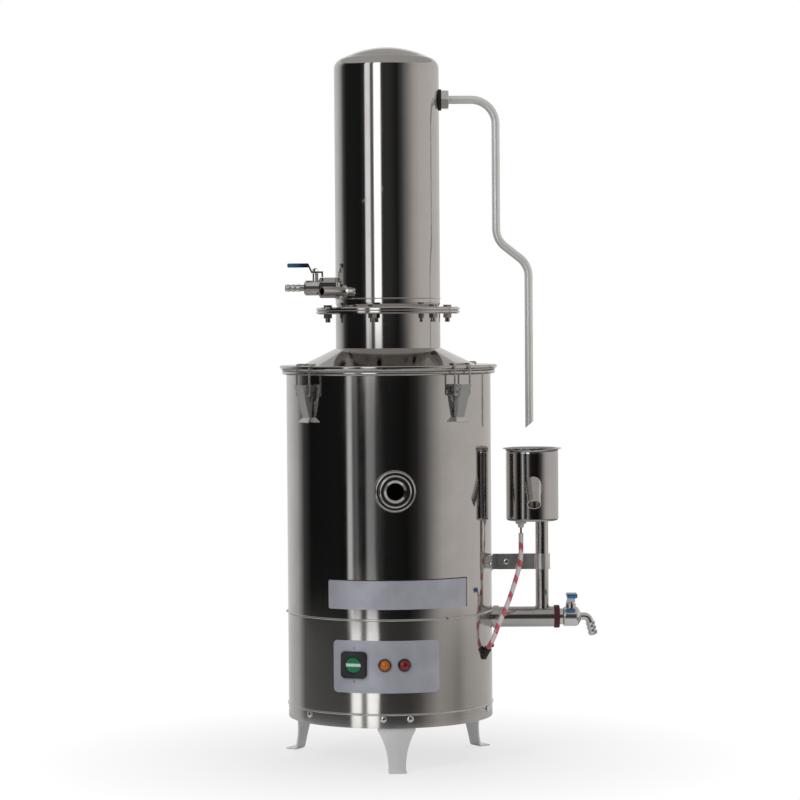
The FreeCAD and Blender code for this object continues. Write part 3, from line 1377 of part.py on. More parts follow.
def latch_lever():
    """Channel lever of a draw latch: web outwards, sides towards the wall, a flared lip at its foot."""
    z_top = PIVOT_Z + LATCH_TOP_UP
    z_toe = z_top - LATCH_LEN
    x_top = BODY_R + LATCH_TOP_OUT
    x_toe = BODY_R + LATCH_TOE_OUT
    x_side = PIVOT_X - LATCH_SIDE_IN
    x_low = BODY_R + BASE_PLATE_T + FIT
    half_top = LATCH_TOP_W / 2
    half_toe = LATCH_TOE_W / 2
    t = LATCH_SHEET
    outer = side_plate(
        -half_top,
        half_top,
        (x_top, z_top),
        (x_toe, z_toe),
        (x_low, z_toe + 2),
        (x_low, BAIL_Z - 9),
        (x_side, BAIL_Z - 4.5),
        (x_side, z_top - 2),
        (x_side + 2, z_top),
    ).common(latch_front(half_top, half_toe, z_top, z_toe))
    hollow = side_plate(
        -half_top,
        half_top,
        (x_top - t, z_top + 1),
        (x_top - t, z_top),
        (x_toe - t, z_toe),
        (BODY_R, z_toe),
        (BODY_R, z_top + 1),
    ).common(latch_front(half_top - t, half_toe - t, z_top + 1, z_toe))
    lip_half = LIP_W / 2
    lip = side_plate(
        -lip_half,
        lip_half,
        (x_toe - t, z_toe + 0.5),
        (x_toe, z_toe + 0.5),
        (x_toe + LIP_OUT, z_toe - LIP_LEN),
        (x_toe + LIP_OUT - t, z_toe - LIP_LEN - 0.6),
    ).common(latch_front(half_toe, lip_half, z_toe + 0.5, z_toe - LIP_LEN - 0.6))
    holes = [
        Part.makeCylinder(PIVOT_R + RUNNING, 40, Vector(PIVOT_X, -20, PIVOT_Z), Y_AXIS),
        Part.makeCylinder(WIRE_R + RUNNING, 40, Vector(BAIL_X, -20, BAIL_Z), Y_AXIS),
    ]
    return cut_all(fused([outer.cut(hollow), lip]), holes)


def latch_wall_y(z):
    """Half width inside the lever's channel at a height."""
    z_top = PIVOT_Z + LATCH_TOP_UP
    share = (z_top - z) / LATCH_LEN
    return LATCH_TOP_W / 2 - share * (LATCH_TOP_W - LATCH_TOE_W) / 2 - LATCH_SHEET


def latch_bracket():
    """Bracket of a draw latch: plate on the wall, two ears and the pivot pin with its heads."""
    z_top = PIVOT_Z + LATCH_TOP_UP
    z0 = z_top - BASE_PLATE_H
    half = BASE_PLATE_W / 2
    ear_t = LATCH_SHEET
    plate = ring(BODY_R + BASE_PLATE_T, BODY_R, z0, z_top)
    plate = plate.common(block(0, BODY_R + 5, -half, half, z0, z_top))
    ears = []
    for side in (-1, 1):
        y0 = min(side * EAR_Y, side * (EAR_Y + ear_t))
        ear = fused(
            [
                block(BODY_R, PIVOT_X, y0, y0 + ear_t, PIVOT_Z - EAR_R, PIVOT_Z + EAR_R),
                Part.makeCylinder(EAR_R, ear_t, Vector(PIVOT_X, y0, PIVOT_Z), Y_AXIS),
            ]
        )
        ears.append(ear.cut(disc(BODY_R, z0, z_top)))
    reach = latch_wall_y(PIVOT_Z - EAR_R) + LATCH_SHEET + 3 * FIT
    pin = Part.makeCylinder(PIVOT_R, 2 * reach, Vector(PIVOT_X, -reach, PIVOT_Z), Y_AXIS)
    heads = []
    for y in (-reach - PIN_HEAD, reach):
        heads.append(Part.makeCylinder(PIVOT_R + PIN_HEAD, PIN_HEAD, Vector(PIVOT_X, y, PIVOT_Z), Y_AXIS))
    return fused([plate] + ears + [pin] + heads)


def latch_bail():
    """Wire bail: its ends turn into the lever's sides, its crossbar lies over the lid's edge."""
    stub = latch_wall_y(BAIL_Z) - 0.5
    top_z = Z_LID_TOP + FIT + WIRE_R
    hook_x = BAIL_X - BAIL_HOOK_IN
    half = BAIL_HALF_W
    points = [
        Vector(BAIL_X, -stub, BAIL_Z),
        Vector(BAIL_X, -half, BAIL_Z),
        Vector(BAIL_X, -half, top_z),
        Vector(hook_x, -half, top_z),
        Vector(hook_x, half, top_z),
        Vector(BAIL_X, half, top_z),
        Vector(BAIL_X, half, BAIL_Z),
        Vector(BAIL_X, stub, BAIL_Z),
    ]
    radii = [WIRE_R + 0.4, BAIL_BEND_R, BAIL_BEND_R, BAIL_BEND_R, BAIL_BEND_R, WIRE_R + 0.4]
    return tube_along(points, radii, WIRE_R)


def build():
    """Every piece by its name."""
    pieces = {
        "base_shell": base_shell(),
        "base_floor": base_floor(),
        "foot_front": foot(FOOT_AZIMUTH),
        "foot_right": foot(FOOT_AZIMUTH + 120),
        "foot_left": foot(FOOT_AZIMUTH - 120),
        "base_screws": base_screws(),
        "control_panel": control_panel(),
        "switch_housing": switch_housing(),
        "switch_rocker": switch_rocker(),
        "lead_grommet": lead_grommet(),
        "mains_gland": mains_gland(),
        "terminal_block": terminal_block(),
        "boiler_pot": boiler_pot(),
        "heating_element": heating_element(),
        "sight_glass_frame": sight_glass_frame(),
        "sight_glass": sight_glass(),
        "sight_glass_ring": sight_glass_ring(),
        "blank_plate": blank_plate(),
        "lid_gasket": lid_gasket(),
        "boiler_lid": boiler_lid(),
        "flange_gasket": flange_gasket(),
        "condenser_shell": condenser_shell(),
        "condenser_cap": condenser_cap(),
        "distillate_tray": distillate_tray(),
        "condenser_core": condenser_core(),
        "flange_bolts": flange_bolts(),
        "flange_nuts": flange_nuts(),
        "distillate_nozzle": distillate_nozzle(),
        "inlet_coupling": inlet_coupling(),
        "inlet_valve_body": inlet_valve_body(),
        "inlet_stem": inlet_placed(valve_stem()),
        "inlet_lever": inlet_placed(valve_lever()),
        "inlet_lever_sleeve": inlet_placed(lever_sleeve()),
        "return_washer": return_washer(),
        "return_nut": return_nut(),
        "return_tube": return_tube(),
        "feed_pipe": feed_pipe(),
        "riser_tube": riser_tube(),
        "filling_cup": filling_cup(),
        "electrode": electrode(),
        "riser_bracket": riser_bracket(),
        "riser_strap": riser_strap(),
        "drain_gasket": drain_gasket(),
        "drain_valve_body": drain_valve_body(),
        "drain_stem": drain_placed(valve_stem()),
        "drain_lever": drain_placed(valve_lever()),
        "drain_lever_sleeve": drain_placed(lever_sleeve()),
        "drain_elbow": drain_elbow(),
        "sensor_lead": sensor_lead(),
    }
    for name, azimuth in LAMP_AZIMUTHS.items():
        pieces[name] = lamp(azimuth)
    bracket = latch_bracket()
    pieces["latch_brackets"] = Part.makeCompound([at_azimuth(bracket, a) for a in LATCH_AZIMUTHS.values()])
    lever = latch_lever()
    bail = latch_bail()
    for number, azimuth in LATCH_AZIMUTHS.items():
        pieces["latch_lever_" + number] = at_azimuth(lever, azimuth)
        pieces["latch_bail_" + number] = at_azimuth(bail, azimuth)
    return pieces


os.makedirs("parts", exist_ok=True)
for node, shape in build().items():
    shape.exportStep("parts/" + node + ".step")
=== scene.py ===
"""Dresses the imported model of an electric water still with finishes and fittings, in a plain studio.

Lengths are in metres and azimuths in degrees, from the front towards the right.
"""

import logging
import math
from dataclasses import dataclass
from enum import Enum
from functools import cache

import bmesh
import bpy
from mathutils import Matrix, Vector


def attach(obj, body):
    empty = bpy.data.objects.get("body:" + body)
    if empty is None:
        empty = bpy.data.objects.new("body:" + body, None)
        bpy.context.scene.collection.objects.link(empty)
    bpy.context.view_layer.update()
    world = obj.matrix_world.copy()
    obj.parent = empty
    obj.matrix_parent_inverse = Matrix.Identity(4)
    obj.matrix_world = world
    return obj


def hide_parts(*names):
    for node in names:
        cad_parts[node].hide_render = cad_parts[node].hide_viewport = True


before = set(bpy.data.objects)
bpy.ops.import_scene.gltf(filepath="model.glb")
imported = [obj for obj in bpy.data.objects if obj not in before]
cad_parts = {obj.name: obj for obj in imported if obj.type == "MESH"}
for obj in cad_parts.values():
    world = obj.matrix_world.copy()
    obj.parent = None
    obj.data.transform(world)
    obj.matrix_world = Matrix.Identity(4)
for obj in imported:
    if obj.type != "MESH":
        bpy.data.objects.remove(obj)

LOG = logging.getLogger("still")
BODY = "still"
MM = 0.001
NOISE_RANGE = (0.3, 0.7)
SEED = 7
BEAD_SIZES = (0.75, 1.1)
Node = bpy.types.Node
Socket = bpy.types.NodeSocket
Mesh = bpy.types.Mesh
Piece = bpy.types.Object
Shape = bmesh.types.BMesh
Colour = tuple[float, float, float]
Place = tuple[Vector, Vector]
Card = tuple[float, float, float]


class Graph:
    """Short way to fill a node tree."""

    def __init__(self, tree: bpy.types.NodeTree) -> None:
        """Starts with an empty tree.

        Args:
            tree: The tree of a material, of the world or of a geometry modifier.
        """
        self.tree = tree
        tree.nodes.clear()

    def node(self, kind: str, *values: object, props: dict | None = None, **named: object) -> Node:
        """Adds a node.

        Args:
            kind: The node's type.
            values: What goes into its sockets in order, with None to leave one alone.
            props: Properties of the node itself.
            named: What goes into its sockets by name, with _ for a space.

        Returns:
            The new node.
        """
        made = self.tree.nodes.new(kind)
        for key, value in (props or {}).items():
            setattr(made, key, value)
        for socket, value in zip(made.inputs, values):
            self.put(socket, value)
        for key, value in named.items():
            self.put(made.inputs[key.replace("_", " ")], value)
        return made

    def put(self, socket: Socket, value: object) -> None:
        """Links a socket to a node or to another socket, or gives it a value."""
        if value is None:
            return
        if isinstance(value, Node):
            value = value.outputs[0]
        if isinstance(value, Socket):
            self.tree.links.new(value, socket)
        elif socket.type == "RGBA" and len(value) == 3:
            socket.default_value = (*value, 1.0)
        else:
            socket.default_value = value

    def maths(self, operation: str, *values: object) -> Node:
        """Adds a Math node."""
        return self.node("ShaderNodeMath", *values, props={"operation": operation})

    def between(self, value: object, low: float, high: float, to_low: float, to_high: float) -> Node:
        """Adds a Map Range node that keeps within its limits."""
        return self.node("ShaderNodeMapRange", value, low, high, to_low, to_high, props={"clamp": True})

    def spread(self, noise: object, to_low: float, to_high: float) -> Node:
        """Stretches the usual range of a noise over these limits."""
        return self.between(noise, *NOISE_RANGE, to_low, to_high)

    def noise(
        self, place: object, scale: float, detail: float = 3.0, rough: float = 0.5, twist: float = 0.0
    ) -> Node:
        """Adds a Noise Texture node."""
        sockets = {"Vector": place, "Scale": scale, "Detail": detail, "Roughness": rough, "Distortion": twist}
        return self.node("ShaderNodeTexNoise", **sockets)

    def blend(self, share: object, first: object, second: object) -> Socket:
        """Mixes two colours.

        Args:
            share: How much of the second colour shows.
            first: The colour at 0.
            second: The colour at 1.

        Returns:
            The mixed colour's socket.
        """
        mix = self.node("ShaderNodeMix", props={"data_type": "RGBA"})
        self.put(mix.inputs[0], share)
        self.put(mix.inputs[6], first)
        self.put(mix.inputs[7], second)
        return mix.outputs[2]

    def bump(self, height: object, depth: float, under: object = None) -> Node:
        """Adds a Bump node of that depth in metres, on top of another one."""
        return self.node("ShaderNodeBump", Strength=1.0, Distance=depth, Height=height, Normal=under)

    def ramp(self, value: object, stops: list[tuple[float, Colour]]) -> Node:
        """Adds a Color Ramp node with these stops."""
        made = self.node("ShaderNodeValToRGB", value)
        made.color_ramp.elements.remove(made.color_ramp.elements[-1])
        made.color_ramp.elements[0].position = stops[0][0]
        made.color_ramp.elements[0].color = (*stops[0][1], 1.0)
        for position, colour in stops[1:]:
            made.color_ramp.elements.new(position).color = (*colour, 1.0)
        return made


def new_material(name: str) -> tuple[bpy.types.Material, Graph, Socket]:
    """Starts a node material.

    Args:

    Returns:
        The material, its graph, and the socket of the Object coordinates.
    """
    material = bpy.data.materials.new(name)
    material.use_nodes = True
    graph = Graph(material.node_tree)
    return material, graph, graph.node("ShaderNodeTexCoord").outputs["Object"]


def surface(graph: Graph, **sockets: object) -> None:
    """Ends a material in a Principled BSDF with these sockets."""
    shader = graph.node("ShaderNodeBsdfPrincipled", **sockets)
    graph.node("ShaderNodeOutputMaterial", shader)


class Finish:
    """What a piece is dressed with. Each kind has its own name and fills its own node tree."""

    name: str

    @cache
    def material(self) -> bpy.types.Material:
        """Builds the material once."""
        material, graph, place = new_material(self.name)
        self.fill(graph, place)
        return material


class Grain(Enum):
    """Way the polishing lines of a metal run, as the scale of their noise along X, Y and Z."""

    ROUND = (9.0, 9.0, 900.0)
    UPRIGHT = (500.0, 500.0, 6.0)
    CAST = (160.0, 160.0, 160.0)


@dataclass(frozen=True)
class Metal(Finish):
    """Bare metal with polishing lines, cloudy patches and shallow dents.

    Attributes:
        colour: Its reflection straight on.
        roughness: Its mean roughness.
        haze: How far roughness wanders in cloudy patches.
        grain: The way of the polishing lines.
        lines: Depth of the lines in metres.
        dents: Depth of the shallow dents in metres.
        smudges: Lowest and highest point in metres where wiped smudges show, if any.
        metallic: How much of it mirrors like bare metal, where the rest is a bright matt bloom.
    """

    name: str
    colour: Colour
    roughness: float
    haze: float = 0.03
    grain: Grain = Grain.ROUND
    lines: float = 2e-6
    dents: float = 0.0
    smudges: tuple[float, float] | None = None
    metallic: float = 1.0

    def fill(self, g: Graph, place: Socket) -> None:
        """Fills the node tree."""
        stretched = g.node("ShaderNodeMapping", Vector=place, Scale=self.grain.value)
        lines = g.noise(stretched, 1.0, 2.0)
        cloud = g.noise(place, 14.0, 5.0, 0.62)
        low, high = self.roughness - self.haze, self.roughness + self.haze
        rough = g.maths("ADD", g.spread(cloud, low, high), g.spread(lines, -0.01, 0.02))
        tint = tuple(c * k for c, k in zip(self.colour, (0.9, 0.885, 0.86)))
        colour = g.blend(g.between(cloud, 0.45, 0.75, 0.0, 1.0), self.colour, tint)
        if self.smudges:
            z = g.node("ShaderNodeSeparateXYZ", place).outputs[2]
            middle = sum(self.smudges) / 2
            away = g.maths("ABSOLUTE", g.maths("SUBTRACT", z, middle))
            near = g.between(away, 0.0, self.smudges[1] - middle, 1.0, 0.0)
            wiped = g.noise(place, 26.0, 7.0, 0.68, 0.8)
            patch = g.maths("MULTIPLY", near, g.between(wiped, 0.56, 0.72, 0.0, 1.0))
            rough = g.maths("MAXIMUM", rough, g.maths("MULTIPLY", patch, 0.42))
        bumps = g.bump(lines, self.lines)
        if self.dents:
            bumps = g.bump(g.noise(place, 11.0, 1.5), self.dents, bumps)
        surface(g, Base_Color=colour, Metallic=self.metallic, Roughness=rough, Normal=bumps)


@dataclass(frozen=True)
class Moulded(Finish):
    """Plastic, rubber, paint or ceramic with a fine texture and slightly uneven colour.

    Attributes:
        colour: Its colour.
        roughness: Its mean roughness.
        texture: Depth of the fine texture in metres.
        scale: How fine that texture is.
        metallic: How metallic the film or paint is.
        fade: Axis, start, end and colour of a fade to a darker colour along that axis, if any.
    """

    name: str
    colour: Colour
    roughness: float
    texture: float = 4e-6
    scale: float = 900.0
    metallic: float = 0.0
    dip: tuple[str, float, float, Colour] | None = None

    def fill(self, g: Graph, place: Socket) -> None:
        """Fills the node tree."""
        fine = g.noise(place, self.scale, 2.0)
        cloud = g.noise(place, 40.0, 4.0)
        darker = tuple(c * 0.82 for c in self.colour)
        colour = g.blend(g.between(cloud, 0.4, 0.75, 0.0, 1.0), self.colour, darker)
        if self.dip:
            # Darker along one axis, from start to end.
            axis, start, end, second = self.dip
            reach = g.node("ShaderNodeSeparateXYZ", place).outputs[axis]
            colour = g.blend(g.between(reach, start, end, 0.0, 1.0), colour, second)
        rough = g.spread(cloud, self.roughness - 0.05, self.roughness + 0.07)
        bumps = g.bump(fine, self.texture)
        surface(g, Base_Color=colour, Metallic=self.metallic, Roughness=rough, Normal=bumps)


@dataclass(frozen=True)
class Rocker(Finish):
    """Green rocker with a painted highlight, a pale band across its middle.

    Attributes:
        middle: Height of the painted highlight's middle in metres.
        half_highlight: Half the painted highlight's height in metres.
    """

    name: str
    middle: float
    half_highlight: float

    def fill(self, g: Graph, place: Socket) -> None:
        """Fills the node tree."""
        z = g.node("ShaderNodeSeparateXYZ", place).outputs[2]
        off = g.maths("ABSOLUTE", g.maths("SUBTRACT", z, self.middle))
        # Pale band of painted highlight across the rocker's middle.
        band = g.between(off, self.half_highlight, self.half_highlight + 0.0004, 1.0, 0.0)
        cloud = g.noise(place, 260.0, 3.0)
        green = g.blend(cloud, (0.0, 0.13, 0.055), (0.0, 0.24, 0.10))
        colour = g.blend(band, green, (0.62, 0.80, 0.70))
        rough = g.spread(cloud, 0.2, 0.3)
        surface(g, Base_Color=colour, Roughness=rough, Normal=g.bump(cloud, 4e-6))


@dataclass(frozen=True)
class Lens(Finish):
    """Coloured lamp lens with a ribbed back, in a dark bezel.

    Attributes:
        colour: The lens's colour.
        azimuth: Azimuth of the lamp's axis in degrees.
        height: Height of the lamp's axis in metres.
        radius: Radius of the lens in metres, past which the bezel starts.
        ribs: How close the ribs are, in radians per metre.
    """

    name: str
    colour: Colour
    azimuth: float
    height: float
    radius: float
    ribs: float = 3200.0

    def fill(self, g: Graph, place: Socket) -> None:
        """Fills the node tree."""
        side = tuple(tangent(self.azimuth))
        dot = g.node("ShaderNodeVectorMath", place, side, props={"operation": "DOT_PRODUCT"})
        across = dot.outputs["Value"]
        z = g.node("ShaderNodeSeparateXYZ", place).outputs[2]
        up = g.maths("SUBTRACT", z, self.height)
        squares = g.maths("ADD", g.maths("MULTIPLY", across, across), g.maths("MULTIPLY", up, up))
        reach = g.maths("SQRT", squares)
        bezel = g.between(reach, self.radius, self.radius + 0.0002, 0.0, 1.0)
        ribs = g.maths("ADD", *(g.maths("SINE", g.maths("MULTIPLY", way, self.ribs)) for way in (across, up)))
        edge = g.between(reach, self.radius * 0.55, self.radius, 0.0, 1.0)
        deep = tuple(c * 0.35 for c in self.colour)
        lit = g.blend(g.between(ribs, -2.0, 2.0, 0.0, 0.6), self.colour, deep)
        lens = g.blend(edge, lit, deep)
        colour = g.blend(bezel, lens, (0.012, 0.012, 0.013))
        rough = g.between(bezel, 0.0, 1.0, 0.08, 0.3)
        surface(g, Base_Color=colour, Roughness=rough, Normal=g.bump(ribs, 2e-5), Coat_Weight=0.6)


@dataclass(frozen=True)
class Glass(Finish):
    """Clear glass that is a little dirty."""

    name: str
    colour: Colour

    def fill(self, g: Graph, place: Socket) -> None:
        """Fills the node tree."""
        dirt = g.noise(place, 90.0, 6.0, 0.7)
        rough = g.between(dirt, 0.45, 0.8, 0.02, 0.22)
        bumps = g.bump(dirt, 2e-6)
        surface(g, Base_Color=self.colour, Roughness=rough, Transmission_Weight=1.0, IOR=1.5, Normal=bumps)


@dataclass(frozen=True)
class BraidedSleeve(Finish):
    """Woven glass fibre sleeve with crimson bands, on the piece's own UV map in metres.

    Attributes:
        pitch: Distance between two bands in metres.
        share: Share of that distance that is crimson.
        bare: Length of dark red wire before the sleeve starts, in metres.
        threads_along: Threads along each metre of the sleeve.
        threads_round: Threads round the sleeve.
    """

    name: str
    pitch: float
    share: float
    bare: float
    threads_along: float = 1100.0
    threads_round: float = 6.0

    def fill(self, g: Graph, place: Socket) -> None:
        """Fills the node tree."""
        along_round = g.node("ShaderNodeSeparateXYZ", g.node("ShaderNodeTexCoord").outputs["UV"])
        along, around = along_round.outputs[0], along_round.outputs[1]
        turns = g.maths("MULTIPLY", around, 0.45)
        step = g.maths("FRACT", g.maths("ADD", g.maths("DIVIDE", along, self.pitch), turns))
        wander = g.noise(place, 420.0, 4.0)
        edge = g.maths("ADD", step, g.spread(wander, -0.09, 0.09))
        rise = g.between(edge, 0.06, 0.12, 0.0, 1.0)
        fall = g.between(edge, self.share, self.share + 0.1, 1.0, 0.0)
        band = g.maths("MULTIPLY", rise, fall)
        lengthwise = g.maths("MULTIPLY", along, self.threads_along)
        crosswise = g.maths("MULTIPLY", around, self.threads_round)
        slants = [g.maths(way, lengthwise, crosswise) for way in ("ADD", "SUBTRACT")]
        waves = [g.maths("SINE", g.maths("MULTIPLY", slant, math.pi)) for slant in slants]
        weave = g.maths("MULTIPLY", *waves)
        pale = g.blend(g.between(weave, -1.0, 1.0, 0.0, 1.0), (0.62, 0.56, 0.52), (0.86, 0.82, 0.79))
        crimson = g.blend(g.between(wander, 0.35, 0.7, 0.0, 1.0), (0.52, 0.035, 0.075), (0.72, 0.22, 0.26))
        woven = g.blend(band, pale, crimson)
        wire = g.between(along, self.bare, self.bare + 0.0005, 1.0, 0.0)
        colour = g.blend(wire, woven, (0.22, 0.012, 0.02))
        surface(g, Base_Color=colour, Roughness=0.72, Sheen_Weight=0.25, Normal=g.bump(weave, 6e-5))


POLISHED = Metal("polished_sheet", (0.61, 0.595, 0.58), 0.075, 0.025, Grain.UPRIGHT, 6e-7, 3.2e-5)
COLUMN = Metal(
    "polished_column", (0.62, 0.605, 0.59), 0.07, 0.025, Grain.UPRIGHT, 6e-7, 2.6e-5, smudges=(0.565, 0.75)
)
BRUSHED = Metal(
    "brushed_base_sheet", (0.62, 0.605, 0.585), 0.11, 0.03, Grain.ROUND, 1.5e-6, 3e-5, metallic=0.96
)
SATIN = Metal("satin_sheet", (0.70, 0.695, 0.685), 0.18, 0.05, Grain.UPRIGHT, 2e-6, 2e-5, metallic=0.85)
FEET = Metal("bright_foot_sheet", (0.90, 0.90, 0.91), 0.42, 0.05, Grain.UPRIGHT, 3e-6, metallic=0.45)
TUBE = Metal("drawn_tube", (0.66, 0.65, 0.64), 0.14, 0.04, Grain.UPRIGHT, 1e-6)
BLASTED = Metal("bead_blasted_tube", (0.88, 0.875, 0.86), 0.3, 0.05, Grain.UPRIGHT, 1e-6, metallic=0.5)
PRESSED = Metal("pressed_sheet", (0.78, 0.77, 0.755), 0.2, 0.06, Grain.UPRIGHT, 1e-6, metallic=0.8)
CAST = Metal("machined_cast_steel", (0.60, 0.585, 0.565), 0.11, 0.05, Grain.CAST, 2.2e-5, metallic=0.97)
PLATED = Metal("plated_brass", (0.82, 0.81, 0.795), 0.08, 0.04, Grain.CAST, 2.4e-5, metallic=0.95)
THREAD = Metal("bolt_steel", (0.42, 0.41, 0.40), 0.28, 0.08, Grain.CAST, 1e-5)
WELD = Metal("weld_seam", (0.50, 0.46, 0.42), 0.3, 0.1, Grain.CAST, 3e-5)
FILM = Moulded("panel_film", (0.50, 0.505, 0.57), 0.34, 8e-7, 700.0, 0.3)
# Near-black colour of the strips of painted shadow along the blank plate's top and right end.
PAINTED_PLATE_SHADOW = Moulded("painted_plate_shadow", (0.018, 0.018, 0.022), 0.5)
INK = Moulded("printed_mark", (0.05, 0.05, 0.08), 0.6)
BLACK = Moulded("black_moulding", (0.014, 0.015, 0.018), 0.28, 6e-6, 700.0)
TEAL = Moulded(
    "dipped_teal_sleeve", (0.012, 0.11, 0.19), 0.26, 1e-5, 260.0,
    dip=("X", -0.112, -0.105, (0.006, 0.012, 0.06)),
)
BLUE = Moulded(
    "dipped_blue_sleeve", (0.03, 0.22, 0.55), 0.26, 1e-5, 260.0,
    dip=("Z", 0.1975, 0.199, (0.01, 0.03, 0.1)),
)
MAROON = Moulded("maroon_gasket", (0.085, 0.008, 0.014), 0.5, 2e-5, 400.0)
RUBBER = Moulded("black_rubber", (0.016, 0.015, 0.015), 0.55, 2e-5, 400.0)
SILICONE = Moulded("pale_silicone", (0.52, 0.51, 0.48), 0.5, 1e-5, 300.0)
CERAMIC = Moulded("fired_ceramic", (0.72, 0.69, 0.62), 0.5, 2e-5, 250.0)
WHITE = Moulded("white_nylon", (0.74, 0.73, 0.70), 0.35, 8e-6, 300.0)
CLEAR = Glass("sight_glass", (0.82, 0.88, 0.86))


def outward(azimuth: float) -> Vector:
    """Unit vector away from the still's axis at an azimuth, from the front towards the right."""
    angle = math.radians(azimuth)
    return Vector((math.sin(angle), -math.cos(angle), 0.0))


def tangent(azimuth: float) -> Vector:
    """Unit vector along the wall at an azimuth, towards the right of someone who faces it."""
    angle = math.radians(azimuth)
    return Vector((math.cos(angle), math.sin(angle), 0.0))


def spot(azimuth: float, radius: float, height: float) -> Vector:
    """Point at an azimuth, a radius and a height."""
    return outward(azimuth) * radius + Vector((0.0, 0.0, height))


def dress(finish: Finish, *names: str) -> None:
    """Gives a finish to CAD nodes.

    Args:
        finish: The finish.
        names: The nodes.
    """
    for name in names:
        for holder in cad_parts[name].material_slots:
            holder.material = finish.material()


def new_object(name: str, mesh: Mesh) -> Piece:
    """Links a new object at the origin."""
    made = bpy.data.objects.new(name, mesh)
    bpy.context.scene.collection.objects.link(made)
    return made


def mesh_of(name: str, shape: Shape, smooth: float = 40.0) -> Mesh:
    """Turns a bmesh into a mesh, smooth where its faces meet at a small angle.

    Args:
        name: The mesh's name.
        shape: The bmesh, which is freed.
        smooth: Greatest angle in degrees that is shaded smooth.

    Returns:
        The mesh.
    """
    bmesh.ops.remove_doubles(shape, verts=shape.verts, dist=1e-6)
    bmesh.ops.recalc_face_normals(shape, faces=shape.faces)
    limit = math.radians(smooth)
    for face in shape.faces:
        face.smooth = True
    for edge in shape.edges:
        edge.smooth = len(edge.link_faces) == 2 and edge.calc_face_angle() < limit
    mesh = bpy.data.meshes.new(name)
    shape.to_mesh(mesh)
    shape.free()
    return mesh


def circle(sides: int) -> list[tuple[float, float]]:
    """Cosine and sine of the equal steps of a full turn."""
    turns = [2 * math.pi * step / sides for step in range(sides)]
    return [(math.cos(turn), math.sin(turn)) for turn in turns]


def lathe(profile: list[tuple[float, float]], sides: int = 24) -> Shape:
    """Turns a profile of radius and height round Z, closed where it meets the axis.

    Args:
        profile: Radius and height of each point, from the bottom up.
        sides: How many sides the shape gets.

    Returns:
        The bmesh.
    """
    shape = bmesh.new()
    rings = []
    for radius, height in profile:
        if radius < 1e-7:
            rings.append([shape.verts.new((0.0, 0.0, height))])
            continue
        rings.append([shape.verts.new((radius * c, radius * s, height)) for c, s in circle(sides)])
    for low, high in zip(rings, rings[1:]):
        for side in range(sides):
            after = (side + 1) % sides
            corners = ((low, side), (low, after), (high, after), (high, side))
            shape.faces.new(list(dict.fromkeys(ring[place % len(ring)] for ring, place in corners)))
    return shape


def cross_head(radius: float, height: float, slot_half: float) -> Mesh:
    """Pan head along +Z with a real cross recess.

    Args:
        radius: The head's radius.
        height: The head's height.
        slot_half: Half the length of the cross.

    Returns:
        The mesh, from the head's seat at z = 0.
    """
    shape = bmesh.new()
    width = slot_half * 0.36
    steps = [0.0, width, slot_half, radius * 0.82, radius]
    flat = sorted({-value for value in steps} | set(steps))
    deep = height * 0.45

    def lift(x: float, y: float) -> float:
        """Height of the domed top at a point."""
        reach = min(1.0, math.hypot(x, y) / radius)
        return height * (1.0 - 0.42 * reach**4)

    verts = {}
    for x in flat:
        for y in flat:
            reach = max(abs(x), abs(y))
            round_off = reach / max(math.hypot(x, y), 1e-9) if reach > slot_half + 1e-7 else 1.0
            px, py = x * round_off, y * round_off
            verts[x, y] = shape.verts.new((px, py, lift(px, py)))
    for x0, x1 in zip(flat, flat[1:]):
        for y0, y1 in zip(flat, flat[1:]):
            mx, my = abs(x0 + x1) / 2, abs(y0 + y1) / 2
            face = shape.faces.new([verts[x0, y0], verts[x1, y0], verts[x1, y1], verts[x0, y1]])
            if (mx < width and my < slot_half) or (my < width and mx < slot_half):
                face.tag = True
    recess = [face for face in shape.faces if face.tag]
    made = bmesh.ops.extrude_face_region(shape, geom=recess, use_keep_orig=False)
    moved = [item for item in made["geom"] if isinstance(item, bmesh.types.BMVert)]
    bmesh.ops.translate(shape, verts=moved, vec=(0.0, 0.0, -deep))
    rim = [edge for edge in shape.edges if edge.is_boundary]
    made = bmesh.ops.extrude_edge_only(shape, edges=rim)
    for item in made["geom"]:
        if isinstance(item, bmesh.types.BMVert):
            item.co.z = 0.0
    lower = [e for e in made["geom"] if isinstance(e, bmesh.types.BMEdge) and e.is_boundary]
    bmesh.ops.contextual_create(shape, geom=lower)
    return mesh_of("cross_head", shape)


